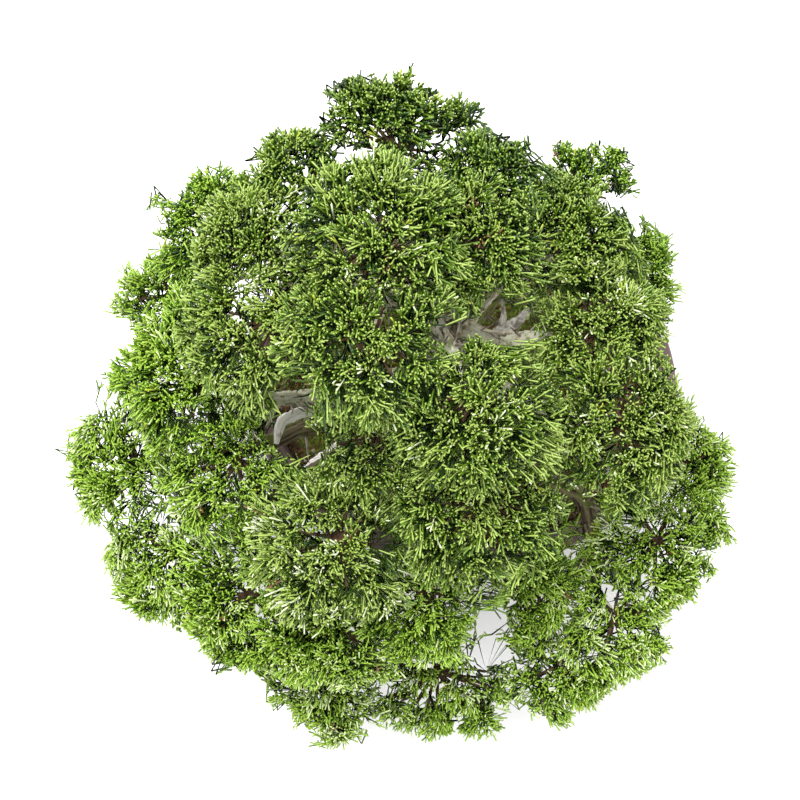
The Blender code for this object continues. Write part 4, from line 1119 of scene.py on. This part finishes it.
bare_paths = bare_twigs()
bare_stoutness = np.random.default_rng(611).uniform(0.6, 1.1, (len(bare_paths), 1))
bare_radii = np.linspace(*BARE_TWIG_RADII, 7) * MM * bare_stoutness
young_bark = dry_matter("Juniper twig bark", "#2b1e15", "#5d4835", 4.545 * MM)
dead_bark = dry_matter("Dead juniper twigs", "#5d5043", "#b5ad9f", 8.333 * MM)
new_piece("twigs_bark", tubes_part(twig_paths, twig_radii, 5), [young_bark])
new_piece("twigs_bare", tubes_part(bare_paths, bare_radii, 5), [dead_bark])

# ---------------------------------------------------------------------------------------------
# Foliage: the juniper's scale leaves hug its shoots, so each shoot is a cord 1.3 mm thick with a
# blunt end. A spray is a leader with side shoots that fork off it. Sprays stand out from each
# limb end every way but straight down, and are clipped to one reach, with hollows between them.
# ---------------------------------------------------------------------------------------------
# Layers of sprays from the outline inwards: spacing in mm, depth as a share of the mass, disorder.
SPRAY_LAYERS = ((5.1, 1.0, 0.06), (6.0, 0.80, 0.12), (8.0, 0.58, 0.2), (10.0, 0.38, 0.3))
SPRAY_LOWEST = -0.6  # how far down a mass's underside its sprays go, as a rise
LEADER_LENGTH = (11 * MM, 17 * MM)
LONGEST_STALK = 25 * MM
SIDE_SHOOTS = 3
LEAST_FORKS = 2  # a leader left with fewer side shoots than this is cut away
FORK_SPREAD = 0.58
SHOOT_RADIUS = 0.66 * MM
OLD_STOUTER = 0.25  # how much stouter a shoot is for each shade darker
UPWARD_LEAN = 0.40  # how much sprays turn up to the light, against their rise from the outline
TUFT_LEAN = 0.45  # how much they lean away from the middle of their tuft
TUFT_BEND = 0.32  # how much each tuft leans a way of its own
TUFT_REACH = 16 * MM
TUFT_UNEVENNESS = (0.87, 1.02)  # how far single tufts reach, as a share
TUFT_ROUNDING = 3.2 * MM  # how far a tuft falls away at its edge
LEAN_WAVE = 42 * MM  # over which neighbouring sprays turn together
LEAN_TURN = 0.22  # how much they turn so
LEAN_DISORDER = 0.2
TIP_SPREAD = (-3.6, 0.4)  # mm that tips stand past the clipped reach
STRAY_SHARE = 0.05  # share of sprays that have grown out since they were clipped
STRAY_REACH = (2, 6)  # mm that those stand further out
HOLLOW_WAVE = 21 * MM
HOLLOW_DEPTH = 4 * MM
NEIGHBOUR_FILL = 0.50  # how far a mass's skirt spreads where another mass stands beside it
CROWDED_LEAN = 0.35  # how much more the sprays of such a skirt turn up to the light
CROWN_MIDDLE = (-44 * MM, -14 * MM)
CROWN_RIM = (100 * MM, 140 * MM)  # how far out a mass begins to be, and is, at the crown's rim
CELL_OVERLAP = 0.14  # how far a mass's sprays reach into the next mass, as a share of its size
LIMB_MARGIN = 1.0 * MM
BOUGH_BARE = 0.3  # share of a bough, from its root, that bears no sprays
BOUGH_SPRAY_SPACING = 0.95 * MM
# Shade of the foliage, in steps from one green to the next: each mass, tuft, spray and shoot
# strays a little, and growth is darker the higher it stands above the middle height, and at the
# back of the crown. The deeper layers are painted darker too, as the shade inside each mass.
MASS_STRAY = 0.09
TUFT_STRAY = 0.18
SPRAY_STRAY = 0.35
SHOOT_STRAY = 0.30
MIDDLE_HEIGHT = 270 * MM
DARKER_ABOVE = 3.2  # for each metre
BACK_DARKER = 0.95
BACK_BEGINS = (60 * MM, 120 * MM)  # how far back growth begins to be, and is, so much darker
PAINTED_SHADE_PER_LAYER = 0.5  # for each layer inwards
tone_rng = np.random.default_rng(720)
mass_tone = tone_rng.normal(0, MASS_STRAY, len(masses))
mass_tone -= DARKER_ABOVE * (mass_centres[:, 2] - MIDDLE_HEIGHT)
mass_tone -= BACK_DARKER * smooth_step(mass_centres[:, 1], *BACK_BEGINS)


def own_space(points, mass):
    """True where a point is nearer its own mass than any other, or nearly so, in each mass's own
    measure, and clear of the leaning shafts that are kept open through the crown."""
    reach = np.stack([
        np.linalg.norm((points - centre) / size, axis=1)
        for centre, size in zip(mass_centres, mass_sizes)
    ], axis=-1)
    rows = np.arange(len(points))
    own = reach[rows, mass] - CELL_OVERLAP
    reach[rows, mass] = np.inf
    free = reach.min(1) >= own
    rise = ((points[:, 2] - GAP_LOW) / (GAP_HIGH - GAP_LOW))[:, None]
    ragged = GAP_RAGGED * ripples(points, 11 * MM, 760)
    for low, high, radius in GAPS:
        axis = (np.array(low) + (np.array(high) - low) * rise) * MM
        free &= np.linalg.norm(points[:, :2] - axis, axis=1) > radius * MM + ragged
    return free


def clear_of_limbs(points, margin):
    """True where a point is further from every limb's surface than the margin: the least, over
    the limbs' straight pieces, of distance to the axis less the radius there."""
    lows = np.vstack([course[:-1] for course in limbs.values()])
    steps = np.vstack([np.diff(course, axis=0) for course in limbs.values()])
    gap = np.full(len(points), 1.0)
    for low, step in zip(lows, steps):
        share = np.clip((points - low[:3]) @ step[:3] / (step[:3] @ step[:3]), 0, 1)
        near = low + share[:, None] * step
        gap = np.minimum(gap, np.linalg.norm(points - near[:, :3], axis=1) - near[:, 3])
    return gap > margin


def crowded(way, mass):
    """1 on the sides where another mass stands beside this one, 0 where the crown ends: from the
    least level distance to another mass's centre as a share of its half-lengths, and for a mass at
    the crown's rim, from how far the side faces outwards."""
    side = mass_centres[mass, :2] + way[:, None, :2] * mass_sizes[mass, :2]
    share = np.linalg.norm((side - mass_centres[:, :2]) / mass_sizes[:, :2], axis=2)
    share[:, mass] = np.inf
    outwards = mass_centres[mass, :2] - CROWN_MIDDLE
    at_rim = smooth_step(np.linalg.norm(outwards), *CROWN_RIM)
    facing_out = smooth_step(way[:, :2] @ unit(outwards), 0.15, 0.65)
    return (1 - smooth_step(share.min(1), 1.2, 1.65)) * (1 - at_rim * facing_out)


def spray_places(layer):
    """A layer of sprays lies evenly over each mass's dome, on a golden-angle spiral with some
    disorder. A leader's way is the outline's normal, leant outwards and turned by a slow field;
    its tip is on the outline less the hollows: rows of (mass, tone, foot, base, tip)."""
    spacing, depth, disorder = SPRAY_LAYERS[layer]
    found = []
    for mass, name in enumerate(masses):
        rng = np.random.default_rng(700 + 100 * layer + mass)
        centre, size = mass_centres[mass], mass_sizes[mass]
        area = 2 * math.pi * size[0] * size[1] * (1 - SPRAY_LOWEST) * 0.8
        thickly = MASSES[name][4]
        count = int(area * depth ** 2 * thickly / (spacing * MM) ** 2)
        even = spiral(count, SPRAY_LOWEST) @ turned(rng.uniform(0, 6.28))
        way = unit(even + rng.normal(0, disorder, (count, 3)))
        pressed = crowded(way, mass)
        fill = 1 + NEIGHBOUR_FILL * pressed * (1 - way[:, 2] ** 2)
        tufts = np.flatnonzero(tuft_mass == mass)
        apart = (centre + way * size)[:, None] - tuft_crest[tufts]
        nearest = np.linalg.norm(apart, axis=2).argmin(1)
        apart = apart[np.arange(count), nearest] / TUFT_REACH
        share = depth * fill * rng.uniform(*TUFT_UNEVENNESS, len(tufts))[nearest]
        crest = centre + way * size * share[:, None]
        turning = np.stack([ripples(crest, LEAN_WAVE, 740 + k) for k in range(3)], axis=-1)
        bent = rng.normal(0, TUFT_BEND, (len(tufts), 3))[nearest]
        bent[:, 2] += UPWARD_LEAN + CROWDED_LEAN * pressed
        growth = unit(unit(way / size) + bent + TUFT_LEAN * apart + LEAN_TURN * turning
                      + rng.normal(0, LEAN_DISORDER, way.shape))
        hollow = HOLLOW_DEPTH * np.clip(-0.1 - ripples(crest, HOLLOW_WAVE, 745), 0, 1.5)
        hollow += TUFT_ROUNDING * np.minimum((apart ** 2).sum(1), 1.5)
        stray = rng.uniform(*STRAY_REACH, count) * (rng.uniform(0, 1, count) < STRAY_SHARE)
        past = (rng.uniform(*TIP_SPREAD, count) + stray) * MM - hollow
        tip = crest + growth * past[:, None]
        base = tip - growth * rng.uniform(*LEADER_LENGTH, count)[:, None]
        tone = mass_tone[mass] + rng.normal(0, TUFT_STRAY, len(tufts))[nearest] - PAINTED_SHADE_PER_LAYER * layer
        found.append((np.full(count, mass), tone, tuft_source[tufts[nearest]], base, tip))
    return [np.concatenate(column) for column in zip(*found)]


def bough_sprays():
    """Small sprays that spring from each bough beyond its bare part, a golden angle apart round it
    and a little upwards, where no mass hides them: the same rows as for the layers."""
    found = []
    for k, (bough, knots) in enumerate(knots_of.items()):
        rng = np.random.default_rng(1100 + k)
        length = np.linalg.norm(np.diff(knots[:, :3], axis=0), axis=1).sum()
        count = int(length * (1 - BOUGH_BARE) / BOUGH_SPRAY_SPACING)
        course = course_through(knots, 400)
        at = (len(course) * rng.uniform(BOUGH_BARE, 1.0, count)).astype(int)
        one, two = across(unit(np.gradient(course[:, :3], axis=0))[at])
        turn = (np.arange(count) * GOLDEN_ANGLE)[:, None]
        around = one * np.cos(turn) + two * np.sin(turn)
        growth = unit(around * (1, 1, 0.4) + (0, 0, 0.12) + rng.normal(0, 0.2, (count, 3)))
        foot = course[at, :3] + growth * course[at, 3:]
        base = foot + growth * rng.uniform(1, 12, (count, 1)) * MM
        tip = base + unit(growth + rng.normal(0, 0.25, (count, 3))) * rng.uniform(9, 18, (count, 1)) * MM
        near = np.linalg.norm((tip[:, None] - mass_centres) / mass_sizes, axis=2)
        mass = near.argmin(1)
        rows = near.min(1) > 0.9
        tone = mass_tone[mass] + rng.normal(-0.3, 0.3, count)
        found.append([column[rows] for column in (mass, tone, foot, base, tip)])
    return [np.concatenate(column) for column in zip(*found)]


def bowed(starts, ends, seed):
    """The middle of each shoot: half way, set off at random by about a twelfth of its length, and
    sunk by a twenty-fifth."""
    rng = np.random.default_rng(seed)
    length = np.linalg.norm(ends - starts, axis=1, keepdims=True)
    return (starts + ends) / 2 + (rng.normal(0, 0.08, starts.shape) - (0.0, 0.0, 0.04)) * length


def side_shoots():
    """Side shoots leave the leader at shares 0.25 + 0.5 k / n of its length, turned about it by
    the golden angle, and reach about the leader's own level: start, end and spray for each."""
    rng = np.random.default_rng(710)
    way = lead_tip - lead_base
    length = np.linalg.norm(way, axis=1, keepdims=True)
    one, two = across(way / length)
    first = rng.uniform(0, 6.28, (len(way), 1))
    starts, ends = [], []
    for k in range(SIDE_SHOOTS):
        share = 0.25 + 0.50 * k / SIDE_SHOOTS + rng.uniform(-0.06, 0.06, (len(way), 1))
        turn = first + k * GOLDEN_ANGLE + rng.uniform(-0.4, 0.4, (len(way), 1))
        lean = FORK_SPREAD * rng.uniform(0.7, 1.3, (len(way), 1))
        side = unit(way / length + lean * (np.cos(turn) * one + np.sin(turn) * two))
        start = lead_base + way * share
        reach = length * (1.0 - share) * rng.uniform(0.6, 1.15, (len(way), 1))
        starts.append(start)
        ends.append(start + side * reach)
    return np.concatenate(starts), np.concatenate(ends), np.tile(np.arange(len(way)), SIDE_SHOOTS)


lead_rows = [*map(spray_places, range(len(SPRAY_LAYERS))), bough_sprays()]
lead_mass, lead_tone, lead_foot, lead_base, lead_tip = map(np.concatenate, zip(*lead_rows))
kept = own_space(lead_tip, lead_mass) & own_space((lead_base + lead_tip) / 2, lead_mass)
kept &= np.linalg.norm(lead_base - lead_foot, axis=1) < LONGEST_STALK
kept[kept] = clear_of_limbs(lead_tip[kept], LIMB_MARGIN)
lead_mass, lead_tone, lead_foot, lead_base, lead_tip = (
    rows[kept] for rows in (lead_mass, lead_tone, lead_foot, lead_base, lead_tip))
side_start, side_end, side_lead = side_shoots()
kept = own_space(side_end, lead_mass[side_lead])
kept[kept] = clear_of_limbs(side_end[kept], LIMB_MARGIN)
forked = np.bincount(side_lead[kept], minlength=len(lead_mass)) >= LEAST_FORKS
kept &= forked[side_lead]
side_start, side_end, side_lead = side_start[kept], side_end[kept], side_lead[kept]
leaders = np.flatnonzero(forked)


def scale_foliage(name, code):
    """Living juniper scales: a plain colour, waxy enough for a soft highlight, and overlapping
    scales that break it up, drawn 1.1 mm long, coarser than life, so that they show."""
    made, tree, shader = new_material(name, 0.45, Base_Color=linear(code), Specular_IOR_Level=0.45)
    place = add_node(tree, "ShaderNodeTexCoord").outputs["Object"]
    scales = add_node(tree, "ShaderNodeTexVoronoi", {"Vector": place, "Scale": 1 / (1.111 * MM)})
    bump = add_node(tree, "ShaderNodeBump", {
        "Strength": 0.45, "Distance": 0.4 * MM, "Height": scales.outputs["Distance"],
    })
    tree.links.new(bump.outputs[0], shader.inputs["Normal"])
    return made


# The colour of each age of growth, in the crown's upper masses and in its lower ones, and where in
# that order a shoot of tone 0 stands. These are lit and shaded copies: the upper paler and greyer,
# painted as sunlit, the lower more vivid, painted as in shade. The young tips are whitened in part as
# a painted highlight. A few sprays are yellowing or dry.
MIDDLE_AGE = 1.82
YELLOWING_SHARE = 0.004
DRY_SHARE = 0.002
FOLIAGE = (
    ("last year's", "#1c3602", "#1b3602"),
    ("full grown", "#4f6a12", "#4e7006"),
    ("this year's", "#869b47", "#87a637"),
    ("young tips", "#bcc5a0", "#bac98e"),
    ("yellowing", "#98a838", "#98a838"),
    ("dry", "#6b4f30", "#6b4f30"),
)
growth_painted_sunlit = [scale_foliage(f"Juniper scales, {age}, upper", code) for age, code, _ in FOLIAGE]
growth_painted_shaded = [scale_foliage(f"Juniper scales, {age}, lower", code) for age, _, code in FOLIAGE]
lead_tone = lead_tone + tone_rng.normal(0, SPRAY_STRAY, len(lead_tone))
lead_rare = tone_rng.uniform(0, 1, len(lead_tone))

# A leader's own shoot starts at its tuft's twig and is dark until its side shoots begin.
shoot_base = np.concatenate((lead_foot[leaders], side_start))
shoot_tip = np.concatenate((lead_tip[leaders], side_end))
shoot_middle = np.concatenate((lead_base[leaders], bowed(side_start, side_end, 730)))
shoot_lead = np.concatenate((leaders, side_lead))
shoot_radius = SHOOT_RADIUS * tone_rng.uniform(0.80, 1.15, len(shoot_lead))
shoot_radius *= 1 + OLD_STOUTER * np.clip(-lead_tone[shoot_lead] - 0.2, 0, 1.5)
shoot_tone = lead_tone[shoot_lead] + tone_rng.normal(0, SHOOT_STRAY, len(shoot_lead))
shoot_class = np.clip(np.round(MIDDLE_AGE + shoot_tone), 0, 3).astype(int)
shoot_class[lead_rare[shoot_lead] < YELLOWING_SHARE] = 4
shoot_class[lead_rare[shoot_lead] > 1 - DRY_SHARE] = 5
# For a shoot of each age, the colour step of its tip and of its foot: the tip lighter, partly young growth
# and partly painted light, the foot darker, painted shade inside the spray.
LIGHTER = np.array((1, 2, 2, 3, 4, 5))
DARKER = np.array((0, 0, 1, 2, 2, 5))

# The crown's pieces, by how the names of their masses begin; the first that fits takes a mass.
CROWN = {
    "crown_top": ("mass_top_",),
    "crown_back": ("mass_upper_back", "mass_upper_left_back", "mass_upper_right_back"),
    "crown_sides": ("mass_upper_left", "mass_upper_right"),
    "crown_front": ("mass_upper_front", "mass_upper_inner_front"),
    "middle_left": ("mass_middle_left", "mass_middle_back_left"),
    "middle_front": ("mass_middle_front",),
    "low_back": ("mass_lower_back", "mass_lower_right_back"),
    "low_left": ("mass_lower_left",),
    "low_front": ("mass_lower_front",),
    "low_right": ("mass_lower_right", "mass_lower_far_right", "mass_lower_inner_front"),
}
taken = np.zeros(len(masses), bool)
for piece, prefixes in CROWN.items():
    members = [k for k, name in enumerate(masses) if not taken[k] and name.startswith(prefixes)]
    taken[members] = True
    rows = np.flatnonzero(np.isin(lead_mass[shoot_lead], members))
    part = shoots_part(shoot_base[rows], shoot_middle[rows], shoot_tip[rows], shoot_radius[rows])
    own = shoot_class[rows]
    low = np.where(rows < len(leaders), 0, DARKER[own])
    ends = np.stack((low,) * 3 + (LIGHTER[own],) * 3, axis=-1)
    colours = np.concatenate((np.repeat(own, 3), ends.ravel()))
    # The crown's upper pieces take the copy painted as sunlit, the rest the copy painted as shaded.
    growth = growth_painted_sunlit if piece.startswith("crown") else growth_painted_shaded
    new_piece(piece, part, growth, [masses[k] for k in members], colours)

# ---------------------------------------------------------------------------------------------
# The studio: a plain pale floor, one broad soft light overhead towards the back, and even pale
# surroundings. The camera looks straight down over the crown.
# ---------------------------------------------------------------------------------------------
FLOOR_RINGS = (6.0, 2.0, 0.3)  # metres out from the middle
FLOOR_AROUND = 64
FLOOR_LEVEL = -0.2 * MM
KEY_PLACE = (-0.32, 0.48, 1.80)
KEY_BACK = (-0.55, 0.75, 1.55)  # the way the light's back faces
KEY_WIDTH = 1.25
KEY_WATTS = 62
SURROUNDINGS = 1.27  # how bright, with 1 for pure white
CAMERA_PLACE = (-0.04374, -0.01417, 1.30)
CAMERA_TURN = 6.1  # degrees about +Z
SENSOR_WIDTH = 36.0
FRAME_PIXELS = 800
FOCAL_PIXELS = 1697

turns = np.linspace(0, 2 * math.pi, FLOOR_AROUND, endpoint=False)
ring = np.stack((np.cos(turns), np.sin(turns), 0 * turns), axis=-1)
rings = np.stack([reach * ring for reach in FLOOR_RINGS])
floor_part = skin(rings + (0.0, 0.0, FLOOR_LEVEL))
floor_mesh = bpy.data.meshes.new("floor")
floor_faces = floor_part["quads"].tolist() + floor_part["triangles"][FLOOR_AROUND:].tolist()
floor_mesh.from_pydata(floor_part["points"].tolist(), [], floor_faces)
floor = bpy.data.objects.new("floor", floor_mesh)
bpy.context.scene.collection.objects.link(floor)
paper = new_material(
    "Pale backdrop paper", 0.9, Base_Color=linear("#f4f4f4"), Specular_IOR_Level=0.1,
)
floor_mesh.materials.append(paper[0])

key = bpy.data.lights.new("key", "AREA")
key.shape = "DISK"
key.size = KEY_WIDTH
key.energy = KEY_WATTS
key_object = bpy.data.objects.new("key", key)
key_object.location = KEY_PLACE
key_object.rotation_euler = Vector(KEY_BACK).to_track_quat("Z", "Y").to_euler()
bpy.context.scene.collection.objects.link(key_object)

world = bpy.data.worlds.new("studio")
world.use_nodes = True
world.node_tree.nodes["Background"].inputs["Color"].default_value = (1.0, 1.0, 1.0, 1.0)
world.node_tree.nodes["Background"].inputs["Strength"].default_value = SURROUNDINGS
bpy.context.scene.world = world

camera_data = bpy.data.cameras.new("camera")
camera_data.sensor_width = SENSOR_WIDTH
camera_data.lens = SENSOR_WIDTH * FOCAL_PIXELS / FRAME_PIXELS
camera_data.clip_start = 0.05
camera = bpy.data.objects.new("camera", camera_data)
camera.location = CAMERA_PLACE
camera.rotation_euler = (0.0, 0.0, math.radians(CAMERA_TURN))
bpy.context.scene.collection.objects.link(camera)
bpy.context.scene.camera = camera
bpy.context.scene.view_settings.view_transform = "Standard"
